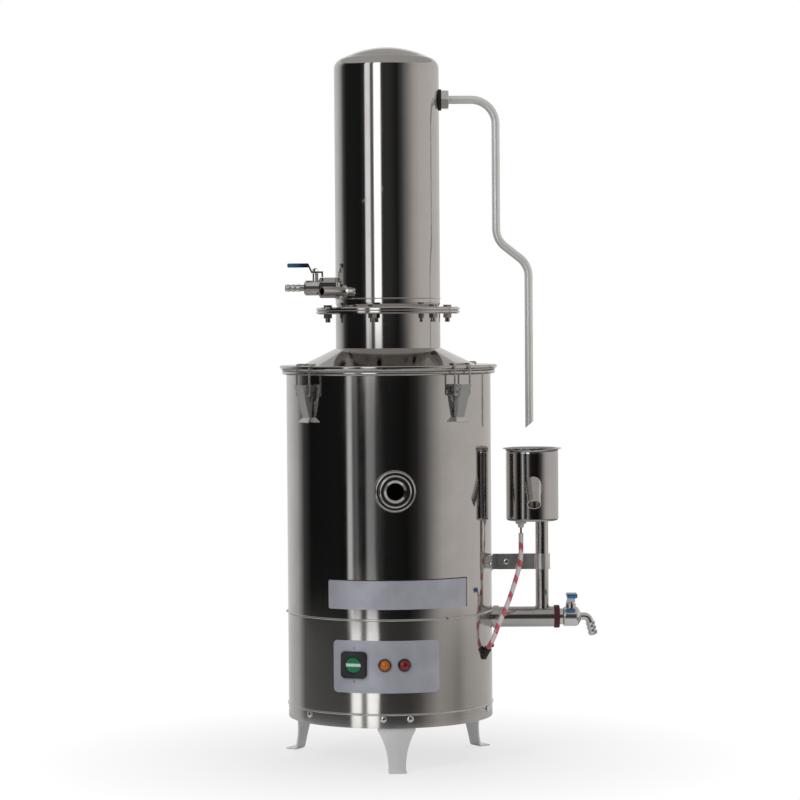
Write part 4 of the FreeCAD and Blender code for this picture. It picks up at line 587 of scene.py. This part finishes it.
def repeat_tree() -> bpy.types.NodeTree:
    """Geometry tree that sets a copy of a piece on each point, turned to the point's heading.

    Returns:
        The tree, with the named inputs Piece, Least size, Greatest size, Seed and Finish.
    """
    tree = bpy.data.node_groups.get("repeat_on_points")
    if tree:
        return tree
    tree = bpy.data.node_groups.new("repeat_on_points", "GeometryNodeTree")
    graph = Graph(tree)
    tree.interface.new_socket("Geometry", in_out="OUTPUT", socket_type="NodeSocketGeometry")
    inputs = {"Geometry": "Geometry", "Piece": "Object", "Least size": "Float", "Greatest size": "Float"}
    inputs |= {"Seed": "Int", "Finish": "Material"}
    for name, kind in inputs.items():
        tree.interface.new_socket(name, in_out="INPUT", socket_type="NodeSocket" + kind)
    given = graph.node("NodeGroupInput").outputs
    heading = graph.node("GeometryNodeInputNamedAttribute", "heading", props={"data_type": "FLOAT_VECTOR"})
    turn = graph.node("FunctionNodeAlignRotationToVector", Vector=heading, props={"axis": "Z"})
    size = graph.node("FunctionNodeRandomValue", props={"data_type": "FLOAT"})
    given_names = {"Min": "Least size", "Max": "Greatest size", "Seed": "Seed"}
    for socket in size.inputs:
        if socket.enabled and socket.name in given_names:
            graph.put(socket, given[given_names[socket.name]])
    scale = next(socket for socket in size.outputs if socket.enabled)
    piece = graph.node("GeometryNodeObjectInfo", Object=given["Piece"]).outputs["Geometry"]
    copies = graph.node(
        "GeometryNodeInstanceOnPoints", given["Geometry"], Instance=piece, Rotation=turn, Scale=scale
    )
    real = graph.node("GeometryNodeRealizeInstances", copies)
    graph.node("NodeGroupOutput", graph.node("GeometryNodeSetMaterial", real, Material=given["Finish"]))
    return tree


def repeated(
    name: str, mesh: Mesh, places: list[Place], finish: Finish, sizes: tuple[float, float] = (1.0, 1.0)
) -> Piece:
    """Sets copies of a mesh on places with Geometry Nodes and bakes them into one plain mesh.

    Args:
        name: The new piece's name.
        mesh: What is copied, pointing along +Z.
        places: Point and heading of each copy.
        finish: The finish of the copies.
        sizes: Least and greatest size of a copy.

    Returns:
        The new piece.
    """
    points = bpy.data.meshes.new(name + "_points")
    points.from_pydata([tuple(point) for point, _ in places], [], [])
    heading = points.attributes.new("heading", "FLOAT_VECTOR", "POINT")
    heading.data.foreach_set("vector", [value for _, way in places for value in way])
    holder = new_object(name + "_holder", points)
    source = new_object(name + "_source", mesh)
    tree = repeat_tree()
    modifier = holder.modifiers.new("repeat", "NODES")
    modifier.node_group = tree
    least, greatest = sizes
    values = {"Piece": source, "Least size": least, "Greatest size": greatest, "Seed": SEED}
    values["Finish"] = finish.material()
    for item in tree.interface.items_tree:
        if item.item_type == "SOCKET" and item.in_out == "INPUT" and item.name in values:
            modifier[item.identifier] = values[item.name]
    depsgraph = bpy.context.evaluated_depsgraph_get()
    baked = bpy.data.meshes.new_from_object(holder.evaluated_get(depsgraph))
    holder.modifiers.remove(modifier)
    bpy.data.objects.remove(holder)
    bpy.data.objects.remove(source)
    return new_object(name, baked)


def settle(piece: Piece, finish: Finish | None = None) -> None:
    """Gives a piece its finish where one is given, attaches it to the body, and reports it.

    Args:
        piece: The piece.
        finish: Its finish, where its mesh has none yet.
    """
    if finish:
        piece.data.materials.clear()
        piece.data.materials.append(finish.material())
    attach(piece, BODY)
    LOG.info("%s: %d faces on %s", piece.name, len(piece.data.polygons), BODY)


def bead_mesh(radius: float) -> Mesh:
    """Small flattened bead of a weld seam."""
    profile = ((0.0, -0.5), (0.8, -0.3), (1.0, 0.0), (0.75, 0.4), (0.0, 0.6))
    shape = lathe([(reach * radius, rise * radius) for reach, rise in profile], 10)
    return mesh_of("bead", shape, 80.0)


def ring_mesh(radius: float, wire: float, sides: int = 28) -> Mesh:
    """Thin ring round Z with a four-sided section, as one turn of a thread."""
    shape = bmesh.new()
    section = [(radius - wire, 0.0), (radius, wire * 0.55), (radius + wire, 0.0), (radius, -wire * 0.55)]
    rings = [[shape.verts.new((r * c, r * s, z)) for r, z in section] for c, s in circle(sides)]
    for ring, after in zip(rings, rings[1:] + rings[:1]):
        for k in range(4):
            shape.faces.new([ring[k], after[k], after[(k + 1) % 4], ring[(k + 1) % 4]])
    return mesh_of("thread_turn", shape, 30.0)


def weld_places(centre: Vector, way: Vector, radius: float, wall: float | None, pitch: float) -> list[Place]:
    """Places of the beads of a weld round a pipe, laid on a round wall where there is one.

    Args:
        centre: A point on the pipe's axis, in the plane of the weld.
        way: The pipe's direction.
        radius: The weld's radius.
        wall: Radius of the upright wall that the pipe meets, if any.
        pitch: Distance between beads.

    Returns:
        A point and a heading for each bead.
    """
    side = way.orthogonal().normalized()
    other = way.cross(side).normalized()
    count = max(8, int(2 * math.pi * radius / pitch))
    places = []
    for c, s in circle(count):
        point = centre + (side * c + other * s) * radius
        if wall:
            flat = Vector((point.x, point.y, 0.0))
            depth = flat.dot(way)
            across = (flat - way * depth).length
            point += way * (math.sqrt(max(wall**2 - across**2, 0.0)) - depth)
        places.append((point, way))
    return places


def weld(name: str, bead: float, places: list[Place], sizes: tuple[float, float] = BEAD_SIZES) -> None:
    """Lays a weld on places, in beads of that radius in metres."""
    settle(repeated(name, bead_mesh(bead), places, WELD, sizes))


def cross_screws(name: str, head: tuple[float, float, float], places: list[Place], finish: Finish) -> Piece:
    """Sets screws with a cross recess on places.

    Args:
        name: The new piece's name.
        head: Radius, height and half the cross's length of a head, in millimetres.
        places: Point and heading of each screw.
        finish: The finish of the screws.

    Returns:
        The new piece.
    """
    return repeated(name, cross_head(*(size * MM for size in head)), places, finish)


def wall_strip(
    name: str, radius: float, azimuths: tuple[float, float], heights: tuple[float, float], thick: float
) -> Mesh:
    """Thin curved strip on the wall.

    Args:
        name: The mesh's name.
        radius: Radius of its inner face.
        azimuths: Its two ends in degrees.
        heights: Its lowest and highest point.
        thick: Its thickness.

    Returns:
        The mesh.
    """
    shape = bmesh.new()
    start, end = azimuths
    low, high = heights
    outer = radius + thick
    corners = ((radius, low), (outer, low), (outer, high), (radius, high))
    steps = max(1, int(abs(end - start) / 2))
    rings = []
    for step in range(steps + 1):
        azimuth = start + (end - start) * step / steps
        rings.append([shape.verts.new(spot(azimuth, r, z)) for r, z in corners])
    for ring, after in zip(rings, rings[1:]):
        for k in range(4):
            shape.faces.new([ring[k], ring[(k + 1) % 4], after[(k + 1) % 4], after[k]])
    shape.faces.new(rings[0])
    shape.faces.new(rings[-1])
    return mesh_of(name, shape)


@dataclass
class Base:
    """Base with its feet, panel, switch, lamps and glands."""

    radius: float = 0.125
    screw_height: float = 0.062
    screw_azimuths: tuple[float, ...] = (-3.8, 10.8, 69.5, 116.2, 130.8, 189.5, 236.2, 250.8, 309.5)
    control_height: float = 0.1263
    switch_azimuth: float = -19.7
    switch_half: float = 0.016
    panel_radius: float = 0.1263
    amber_azimuth: float = -2.8
    red_azimuth: float = 7.7
    lens_radius: float = 0.0064
    joint_height: float = 0.1806
    joint_azimuths: tuple[float, ...] = (33.0, 153.0, -87.0)
    earth_azimuth: float = 90.0
    earth_height: float = 0.1346

    def build(self) -> None:
        """Dresses the base's nodes and adds its screws and marks."""
        dress(BRUSHED, "base_shell", "base_floor")
        dress(FEET, "foot_front", "foot_left", "foot_right")
        dress(FILM, "control_panel")
        dress(BLACK, "switch_housing", "mains_gland")
        dress(Rocker("green_rocker", self.control_height, 0.0016), "switch_rocker")
        lamps = (
            ("amber", (0.70, 0.17, 0.008), self.amber_azimuth),
            ("red", (0.24, 0.002, 0.006), self.red_azimuth),
        )
        for name, colour, azimuth in lamps:
            lens = Lens(name + "_lens", colour, azimuth, self.control_height, self.lens_radius)
            dress(lens, name + "_lamp")
        dress(RUBBER, "lead_grommet")
        dress(CERAMIC, "terminal_block")
        self.screws()
        self.marks()

    def screws(self) -> None:
        """Screws with a cross recess round the bottom, the earth screw and the joint's screws."""
        places = [(spot(a, self.radius, self.screw_height), outward(a)) for a in self.screw_azimuths]
        screws = cross_screws("base_screws_cross_head", (3.85, 2.2, 1.9), places, PLATED)
        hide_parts("base_screws")
        settle(screws)
        earth = [(spot(self.earth_azimuth, self.radius, self.earth_height), outward(self.earth_azimuth))]
        settle(cross_screws("earth_screw", (2.7, 2.4, 1.3), earth, BLACK))
        reach, height = self.radius + 1.1 * MM, self.joint_height - 1.4 * MM
        joint = [(spot(azimuth, reach, height), outward(azimuth)) for azimuth in self.joint_azimuths]
        settle(cross_screws("joint_screws", (1.7, 1.0, 0.9), joint, THREAD))

    def marks(self) -> None:
        """Plain bar over the switch and ring under it, as on any mains switch."""
        turn = 0.22
        face = self.panel_radius
        above = self.control_height + self.switch_half + 2.6 * MM
        ends = (self.switch_azimuth - turn, self.switch_azimuth + turn)
        bar = wall_strip("switch_on_mark", face, ends, (above, above + 2.6 * MM), 0.08 * MM)
        settle(new_object("switch_on_mark", bar), INK)
        below = spot(self.switch_azimuth, face + 0.03 * MM, self.control_height - self.switch_half - 3.9 * MM)
        place = [(below, outward(self.switch_azimuth))]
        settle(repeated("switch_off_mark", ring_mesh(1.15 * MM, 0.26 * MM), place, INK))


@dataclass
class Boiler:
    """Boiler pot with its sight glass, blank plate, lid and latches."""

    radius: float = 0.125
    plate_azimuths: tuple[float, float] = (-35.0, 46.5)
    plate_heights: tuple[float, float] = (0.192, 0.226)
    plate_radius: float = 0.1253
    glass_azimuth: float = 3.3
    glass_height: float = 0.332
    glass_frame_radius: float = 0.024

    def build(self) -> None:
        """Dresses the boiler's nodes and adds the weld of the sight glass and the dark strips of painted
        shadow along the plate.
        """
        dress(POLISHED, "boiler_pot", "boiler_lid")
        dress(TUBE, "sight_glass_frame", "sight_glass_ring")
        dress(CLEAR, "sight_glass")
        dress(FILM, "blank_plate")
        dress(SATIN, "heating_element", "latch_brackets")
        dress(SILICONE, "lid_gasket", "flange_gasket")
        for number in "1234":
            dress(PRESSED, "latch_lever_" + number)
            dress(TUBE, "latch_bail_" + number)
        centre = spot(self.glass_azimuth, self.radius, self.glass_height)
        reach = self.glass_frame_radius + 0.3 * MM
        places = weld_places(centre, outward(self.glass_azimuth), reach, self.radius, 1.7 * MM)
        weld("sight_glass_weld", 1.1 * MM, places)
        self.plate_shadow_strips()

    def plate_shadow_strips(self) -> None:
        """Dark strips of painted shadow along the top and the right end of the blank plate, where the plate's
        edge casts its shadow.
        """
        left, right = self.plate_azimuths
        low, high = self.plate_heights
        upper = high + 0.9 * MM
        strips = {
            "plate_top_edging": ((left, right), (high, upper)),
            "plate_end_edging": ((right, right + 0.5), (low, upper)),
        }
        for name, (azimuths, heights) in strips.items():
            # Each strip is a dark sheet that stands in for the plate's edge shadow.
            strip = wall_strip(name, self.plate_radius - 0.2 * MM, azimuths, heights, 1.3 * MM)
            settle(new_object(name, strip), PAINTED_PLATE_SHADOW)


@dataclass
class Condenser:
    """Condenser column on its flanges."""

    radius: float = 0.064
    bolt_circle: float = 0.076
    bolt_azimuth: float = -14.0
    bolt_count: int = 6
    flange_low: float = 0.542
    nozzle_azimuth: float = -54.6
    nozzle_height: float = 0.5695
    nozzle_radius: float = 0.0055

    def build(self) -> None:
        """Dresses the column's nodes and adds the bolts' threads and the nozzle's weld."""
        dress(COLUMN, "condenser_shell", "condenser_cap")
        dress(SATIN, "distillate_tray", "condenser_core")
        dress(THREAD, "flange_bolts", "flange_nuts")
        dress(TUBE, "distillate_nozzle")
        self.threads()
        self.nozzle_weld()

    def threads(self) -> None:
        """Thread turns on the bolts' tails."""
        azimuths = [self.bolt_azimuth + 360.0 / self.bolt_count * step for step in range(self.bolt_count)]
        low = self.flange_low - 9.6 * MM
        up = Vector((0.0, 0.0, 1.0))
        turns = [(spot(a, self.bolt_circle, low + 0.9 * MM * k), up) for a in azimuths for k in range(5)]
        settle(repeated("bolt_threads", ring_mesh(2.95 * MM, 0.32 * MM, 20), turns, THREAD))

    def nozzle_weld(self) -> None:
        """Weld beads round the distillate nozzle."""
        way = outward(self.nozzle_azimuth)
        centre = spot(self.nozzle_azimuth, self.radius, self.nozzle_height)
        reach = self.nozzle_radius + 1.7 * MM
        weld("nozzle_weld", 0.9 * MM, weld_places(centre, way, reach, self.radius, 1.5 * MM))


@dataclass
class WaterPath:
    """Inlet valve, return tube, filling cup, riser, feed pipe and drain valve."""

    column_radius: float = 0.064
    body_radius: float = 0.125
    inlet_height: float = 0.5746
    coupling_radius: float = 0.0118
    feed_height: float = 0.1695
    feed_radius: float = 0.0125
    riser_x: float = 0.1868
    riser_radius: float = 0.008
    cup_x: float = 0.1753
    cup_radius: float = 0.03215
    cup_bottom: float = 0.288
    spout_rise: float = 0.0395
    spout_root: float = 0.0099
    spout_beads: int = 34
    strap_height: float = 0.2376
    bracket_azimuth: float = 75.0

    def build(self) -> None:
        """Dresses the water path's nodes and adds its welds and screws."""
        dress(CAST, "inlet_coupling", "feed_pipe")
        dress(PLATED, "inlet_valve_body", "inlet_stem", "return_nut")
        dress(PLATED, "drain_valve_body", "drain_stem", "drain_elbow")
        dress(BLASTED, "return_tube")
        dress(TUBE, "riser_tube", "inlet_lever", "drain_lever")
        dress(POLISHED, "filling_cup")
        dress(PRESSED, "riser_bracket", "riser_strap")
        dress(TEAL, "inlet_lever_sleeve")
        dress(BLUE, "drain_lever_sleeve")
        dress(MAROON, "drain_gasket")
        dress(RUBBER, "return_washer")
        dress(WHITE, "electrode")
        self.welds()
        self.screws()

    def welds(self) -> None:
        """Weld beads where the coupling, the feed pipe, the riser and the spout are joined."""
        left, up = Vector((-1.0, 0.0, 0.0)), Vector((0.0, 0.0, 1.0))
        inlet = Vector((-self.column_radius, 0.0, self.inlet_height))
        places = weld_places(inlet, left, self.coupling_radius, self.column_radius, 1.6 * MM)
        weld("coupling_weld", 1.2 * MM, places)
        riser = Vector((self.riser_x, 0.0, self.feed_height))
        places = []
        for point, _ in weld_places(riser, up, self.riser_radius + 0.2 * MM, None, 1.5 * MM):
            point.z += math.sqrt(self.feed_radius**2 - point.y**2)
            places.append((point, up))
        cup = Vector((self.riser_x, 0.0, self.cup_bottom - 0.2 * MM))
        places += weld_places(cup, up, self.riser_radius + 0.3 * MM, None, 1.5 * MM)
        weld("riser_welds", 1.0 * MM, places)
        self.spout_weld()

    def spout_weld(self) -> None:
        """Weld beads round the root of the overflow spout, on the cup's wall."""
        way = Vector((0.0, -math.sqrt(0.5), -math.sqrt(0.5)))
        root = Vector((self.cup_x, -self.cup_radius, self.cup_bottom + self.spout_rise))
        side, other = Vector((1.0, 0.0, 0.0)), way.cross(Vector((1.0, 0.0, 0.0)))
        places = []
        for c, s in circle(self.spout_beads):
            point = root + (side * c + other * s) * (self.spout_root + 0.1 * MM)
            across = point.x - self.cup_x
            wall_y = -math.sqrt(self.cup_radius**2 - across**2)
            point += way * ((wall_y - point.y) / way.y)
            places.append((point, Vector((across, wall_y, 0.0)).normalized()))
        weld("spout_weld", 1.1 * MM, places, (0.75, 1.15))

    def screws(self) -> None:
        """Screws through the strap and the bracket's foot."""
        front = Vector((0.0, -1.0, 0.0))
        strap = [(Vector((0.1425, -0.003, self.strap_height)), front)]
        settle(cross_screws("strap_screw", (3.6, 2.0, 1.7), strap, PLATED))
        reach, azimuth = self.body_radius + 2.0 * MM, self.bracket_azimuth
        foot = [(spot(azimuth, reach, self.strap_height), outward(azimuth))]
        settle(cross_screws("bracket_screw", (2.6, 1.5, 1.2), foot, PLATED))


@dataclass
class SensorLead:
    """Sleeved lead from the water electrode to the grommet in the base."""

    route: tuple[tuple[float, float, float], ...] = (
        (0.1613, 0.0, 0.279),
        (0.1613, 0.0, 0.262),
        (0.1605, -0.0115, 0.238),
        (0.152, -0.027, 0.213),
        (0.143, -0.041, 0.189),
        (0.1305, -0.054, 0.165),
        (0.1244, -0.0580, 0.1474),
        (0.1183, -0.0552, 0.1375),
    )
    length: float = 0.1637
    sleeve_radius: float = 0.0029
    wire_radius: float = 0.0012
    bare: float = 0.0068
    sides: int = 20

    def build(self) -> None:
        line = self.line()
        lead = new_object("sensor_lead_sleeve", self.tube(line))
        lead.data.materials.append(BraidedSleeve("braided_sleeve", 0.0225, 0.46, self.bare).material())
        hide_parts("sensor_lead")
        settle(lead)

    def line(self) -> list[Vector]:
        """Points of the route's own smooth spline.

        Returns:
            The points in order, from the electrode to the grommet.
        """
        curve = bpy.data.curves.new("lead_route", "CURVE")
        curve.dimensions = "3D"
        spline = curve.splines.new("NURBS")
        spline.points.add(len(self.route) - 1)
        for point, place in zip(spline.points, self.route):
            point.co = (*place, 1.0)
        spline.order_u = 3
        spline.use_endpoint_u = True
        spline.resolution_u = 14
        holder = bpy.data.objects.new("lead_route", curve)
        bpy.context.scene.collection.objects.link(holder)
        depsgraph = bpy.context.evaluated_depsgraph_get()
        mesh = bpy.data.meshes.new_from_object(holder.evaluated_get(depsgraph))
        points = [vertex.co.copy() for vertex in mesh.vertices]
        bpy.data.objects.remove(holder)
        bpy.data.meshes.remove(mesh)
        return points

    def tube(self, line: list[Vector]) -> Mesh:
        """Tube round a line, with its length and its turn as a UV map.

        Args:
            line: The points of the line.

        Returns:
            The mesh, thin at the bare wire and thick from where the sleeve starts.
        """
        stations = [(0.0, self.wire_radius)]
        marks = [(self.bare - 0.0002, self.wire_radius), (self.bare, self.sleeve_radius)]
        reach, places = 0.0, []
        for before, after in zip(line, line[1:]):
            places.append((reach, before))
            reach += (after - before).length
        places.append((reach, line[-1]))
        stations += marks + [(s, self.sleeve_radius) for s, _ in places if s > self.bare + 0.0005]

        def at(length: float) -> tuple[Vector, Vector]:
            """Point and direction of the line at a length along it."""
            for (s0, p0), (s1, p1) in zip(places, places[1:]):
                if length <= s1 + 1e-9:
                    return p0.lerp(p1, (length - s0) / (s1 - s0)), (p1 - p0).normalized()
            return places[-1][1], (places[-1][1] - places[-2][1]).normalized()

        shape = bmesh.new()
        steps = circle(self.sides)
        uv = shape.loops.layers.uv.new("along_and_round")
        side = Vector((0.0, 1.0, 0.0))
        rings = []
        for length, radius in stations:
            centre, way = at(length)
            side = (side - way * side.dot(way)).normalized()
            other = way.cross(side)
            rings.append([shape.verts.new(centre + (side * c + other * s) * radius) for c, s in steps])
        for (ring, (s0, _)), (after, (s1, _)) in zip(zip(rings, stations), zip(rings[1:], stations[1:])):
            for k in range(self.sides):
                nxt = (k + 1) % self.sides
                face = shape.faces.new([ring[k], ring[nxt], after[nxt], after[k]])
                for loop, value in zip(face.loops, ((s0, k), (s0, k + 1), (s1, k + 1), (s1, k))):
                    loop[uv].uv = (value[0], value[1] / self.sides)
        shape.faces.new(rings[0])
        shape.faces.new(rings[-1])
        return mesh_of("sensor_lead_sleeve", shape, 50.0)


@dataclass
class Studio:
    """Camera, lamps, pale floor and the cards that polished steel mirrors.

    Attributes:
        lens: Focal length in millimetres on a 36 mm sensor.
        distance: Distance from the camera to the still's axis.
        eye: Height of the camera.
        aside: How far the camera stands to the right.
        pitch: How far it looks down, in degrees.
        roll: How far it is turned about its own axis, in degrees.
        wall: Radius of the ring of cards.
        table: Radius of the pale floor.
        cards: Azimuth, brightness and warmth of the cards that the column mirrors.
        low_cards: The same for the cards that the boiler mirrors.
        base_cards: The same for the cards that the base mirrors.
    """

    lens: float = 120.8
    distance: float = 3.289
    eye: float = 0.525
    aside: float = 0.01397
    pitch: float = 1.54
    roll: float = -0.4
    wall: float = 7.0
    table: float = 0.45
    cards: tuple[Card, ...] = (
        (-180.0, 0.76, 0.0), (-140.0, 0.64, 0.0), (-125.0, 0.46, 0.0), (-111.0, 0.07, 0.0),
        (-100.0, 0.016, 0.0), (-60.0, 0.012, 0.0), (-49.5, 0.035, 0.0), (-47.5, 1.0, 0.0),
        (-37.0, 1.0, 0.0), (-35.5, 0.12, 0.0), (-29.5, 0.12, 0.0), (-27.5, 1.9, 0.0),
        (-14.5, 1.9, 0.0), (-12.0, 0.04, 0.0), (5.0, 0.035, 0.0), (22.0, 0.014, 0.2),
        (32.0, 0.06, 0.3), (46.0, 0.24, 0.5), (61.0, 0.46, 0.5), (77.0, 0.58, 0.5),
        (118.0, 0.64, 0.5), (160.0, 0.66, 0.3), (180.0, 0.76, 0.0),
    )
    low_cards: tuple[Card, ...] = (
        (-180.0, 0.76, 0.0), (-140.0, 0.64, 0.0), (-125.0, 0.46, 0.0), (-111.0, 0.06, 0.0),
        (-98.0, 0.008, 0.0), (-60.0, 0.010, 0.0), (-48.0, 0.008, 0.0), (-46.0, 0.62, 0.0),
        (-42.0, 0.58, 0.0), (-40.5, 0.09, 0.0), (-36.0, 0.14, 0.0), (-33.5, 0.02, 0.0),
        (-26.0, 0.012, 0.0), (-24.0, 0.27, -0.3), (-17.5, 0.24, -0.3), (-14.0, 0.06, 0.0),
        (-8.0, 0.014, 0.0), (20.0, 0.007, 0.2), (31.0, 0.025, 0.4), (41.0, 0.10, 0.5),
        (51.0, 0.32, 0.5), (61.0, 0.50, 0.5), (77.0, 0.58, 0.5), (118.0, 0.60, 0.5),
        (160.0, 0.62, 0.3), (180.0, 0.76, 0.0),
    )
    base_cards: tuple[Card, ...] = (
        (-180.0, 0.76, 0.0), (-125.0, 0.46, 0.0), (-111.0, 0.10, 0.0), (-90.0, 0.07, 0.0),
        (-45.0, 0.04, 0.0), (-42.0, 1.5, 0.0), (-33.0, 1.5, 0.0), (-31.0, 0.24, 0.0),
        (-26.5, 0.24, 0.0), (-24.5, 1.6, 0.0), (-14.5, 1.5, 0.0), (-12.0, 0.06, 0.0),
        (0.0, 0.02, 0.0), (22.0, 0.015, 0.2), (33.0, 0.06, 0.4), (43.0, 0.20, 0.5), (56.0, 0.36, 0.5),
        (70.0, 0.30, 0.5), (82.0, 0.22, 0.5), (96.0, 0.40, 0.5), (160.0, 0.62, 0.3),
        (180.0, 0.76, 0.0),
    )

    def build(self) -> None:
        """Builds the studio."""
        self.camera()
        self.world()
        self.surround()
        self.floor()
        self.lamp("key_lamp", Vector((-1.7, -2.0, 1.7)), 1.2, 17.0)
        self.lamp("fill_lamp", Vector((2.2, -1.4, 1.1)), 1.4, 6.0)
        self.lamp("back_lamp", Vector((0.6, 2.3, 1.9)), 1.4, 9.0)
        bpy.context.scene.view_settings.view_transform = "Standard"

    def camera(self) -> None:
        """Camera at the photograph's viewing angle."""
        camera = bpy.data.objects.new("camera", bpy.data.cameras.new("camera"))
        bpy.context.scene.collection.objects.link(camera)
        camera.data.sensor_width = 36.0
        camera.data.lens = self.lens
        level = Matrix.Rotation(math.radians(90.0 - self.pitch), 4, "X")
        turned = Matrix.Rotation(math.radians(self.roll), 4, "Z")
        camera.matrix_world = Matrix.Translation((self.aside, -self.distance, self.eye)) @ level @ turned
        bpy.context.scene.camera = camera

    def world(self) -> None:
        """White for the camera and in mirrors and glass, and a soft level on the rest."""
        world = bpy.data.worlds.new("studio")
        world.use_nodes = True
        graph = Graph(world.node_tree)
        path = graph.node("ShaderNodeLightPath").outputs
        mirrored = graph.maths("MAXIMUM", path["Is Glossy Ray"], path["Is Transmission Ray"])
        seen = graph.maths("MAXIMUM", path["Is Camera Ray"], mirrored)
        soft = graph.node("ShaderNodeBackground", Color=(1.0, 1.0, 1.0), Strength=0.5)
        white = graph.node("ShaderNodeBackground", Color=(1.0, 1.0, 1.0), Strength=1.0)
        graph.node("ShaderNodeOutputWorld", graph.node("ShaderNodeMixShader", seen, soft, white))
        bpy.context.scene.world = world

    def surround(self) -> None:
        """Ring of cards, with a grey ceiling and a dim studio floor, which only reflections show."""
        low, high = -1.3, 4.2
        material, g, place = new_material("studio_cards")
        split = g.node("ShaderNodeSeparateXYZ", place)
        forward = g.maths("MULTIPLY", split.outputs[1], -1.0)
        turn = g.maths("DIVIDE", g.maths("ARCTAN2", split.outputs[0], forward), 2 * math.pi)
        share = g.maths("ADD", turn, 0.5)
        rows = (self.base_cards, self.low_cards, self.cards)
        base, boiler, column = (g.ramp(share, self.stops(row)) for row in rows)
        lower = g.blend(g.between(split.outputs[2], -0.65, -0.5, 0.0, 1.0), base, boiler)
        cards = g.blend(g.between(split.outputs[2], 0.35, 0.6, 0.0, 1.0), lower, column)
        flat = g.between(split.outputs[2], high - 0.01, high, 0.0, 1.0)
        ground = g.between(split.outputs[2], low, low + 0.01, 1.0, 0.0)
        colour = g.blend(ground, g.blend(flat, cards, (0.42, 0.41, 0.40)), (0.20, 0.195, 0.18))
        g.node("ShaderNodeOutputMaterial", g.node("ShaderNodeEmission", Color=colour, Strength=1.0))
        shape = lathe([(0.0, low), (self.wall, low), (self.wall, high), (0.0, high)], 96)
        ring = new_object("studio_surround", mesh_of("studio_surround", shape))
        ring.data.materials.append(material)
        ring.visible_camera = False
        ring.visible_diffuse = False
        ring.visible_shadow = False

    @staticmethod
    def stops(cards: tuple[Card, ...]) -> list[tuple[float, Colour]]:
        """Places and colours of a row of cards along the full turn."""
        row = []
        for azimuth, level, warmth in cards:
            tint = (1.0, 1.0 - 0.1 * warmth, 1.0 - 0.17 * warmth)
            row.append((azimuth / 360.0 + 0.5, tuple(level * t for t in tint)))
        return row

    def floor(self) -> None:
        """Pale round floor that fades into the white background and keeps the still's shadow."""
        material, g, place = new_material("pale_floor")
        reach = g.node("ShaderNodeVectorMath", place, props={"operation": "LENGTH"}).outputs["Value"]
        path = g.node("ShaderNodeLightPath").outputs
        edge = g.between(reach, self.table * 0.35, self.table * 0.97, 0.7, 1.0)
        share = g.maths("MULTIPLY", edge, path["Is Camera Ray"])
        matt = g.node("ShaderNodeBsdfDiffuse", Color=(0.82, 0.82, 0.82))
        glow = g.node("ShaderNodeEmission", Color=(1.0, 1.0, 1.0), Strength=1.0)
        g.node("ShaderNodeOutputMaterial", g.node("ShaderNodeMixShader", share, matt, glow))
        shape = lathe([(0.0, -0.0005), (self.table, -0.0005)], 96)
        floor = new_object("pale_floor", mesh_of("pale_floor", shape))
        floor.data.materials.append(material)

    def lamp(self, name: str, place: Vector, size: float, power: float) -> None:
        """Adds a soft square lamp that looks at the still's middle.

        Args:
            name: The lamp's name.
            place: Where it stands.
            size: Its side.
            power: Its power in watts.
        """
        data = bpy.data.lights.new(name, "AREA")
        data.size = size
        data.energy = power
        lamp = bpy.data.objects.new(name, data)
        lamp.location = place
        lamp.rotation_euler = (Vector((0.0, 0.0, 0.4)) - place).to_track_quat("-Z", "Y").to_euler()
        lamp.visible_glossy = False
        bpy.context.scene.collection.objects.link(lamp)


def main() -> None:
    """Builds the studio and dresses the still, one sub-assembly after the other."""
    logging.basicConfig(level=logging.INFO, format="%(name)s %(message)s")
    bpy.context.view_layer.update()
    for part in (Studio(), SensorLead(), Base(), Boiler(), Condenser(), WaterPath()):
        part.build()
        LOG.info("%s done", type(part).__name__)


if __name__ == "__main__":
    main()
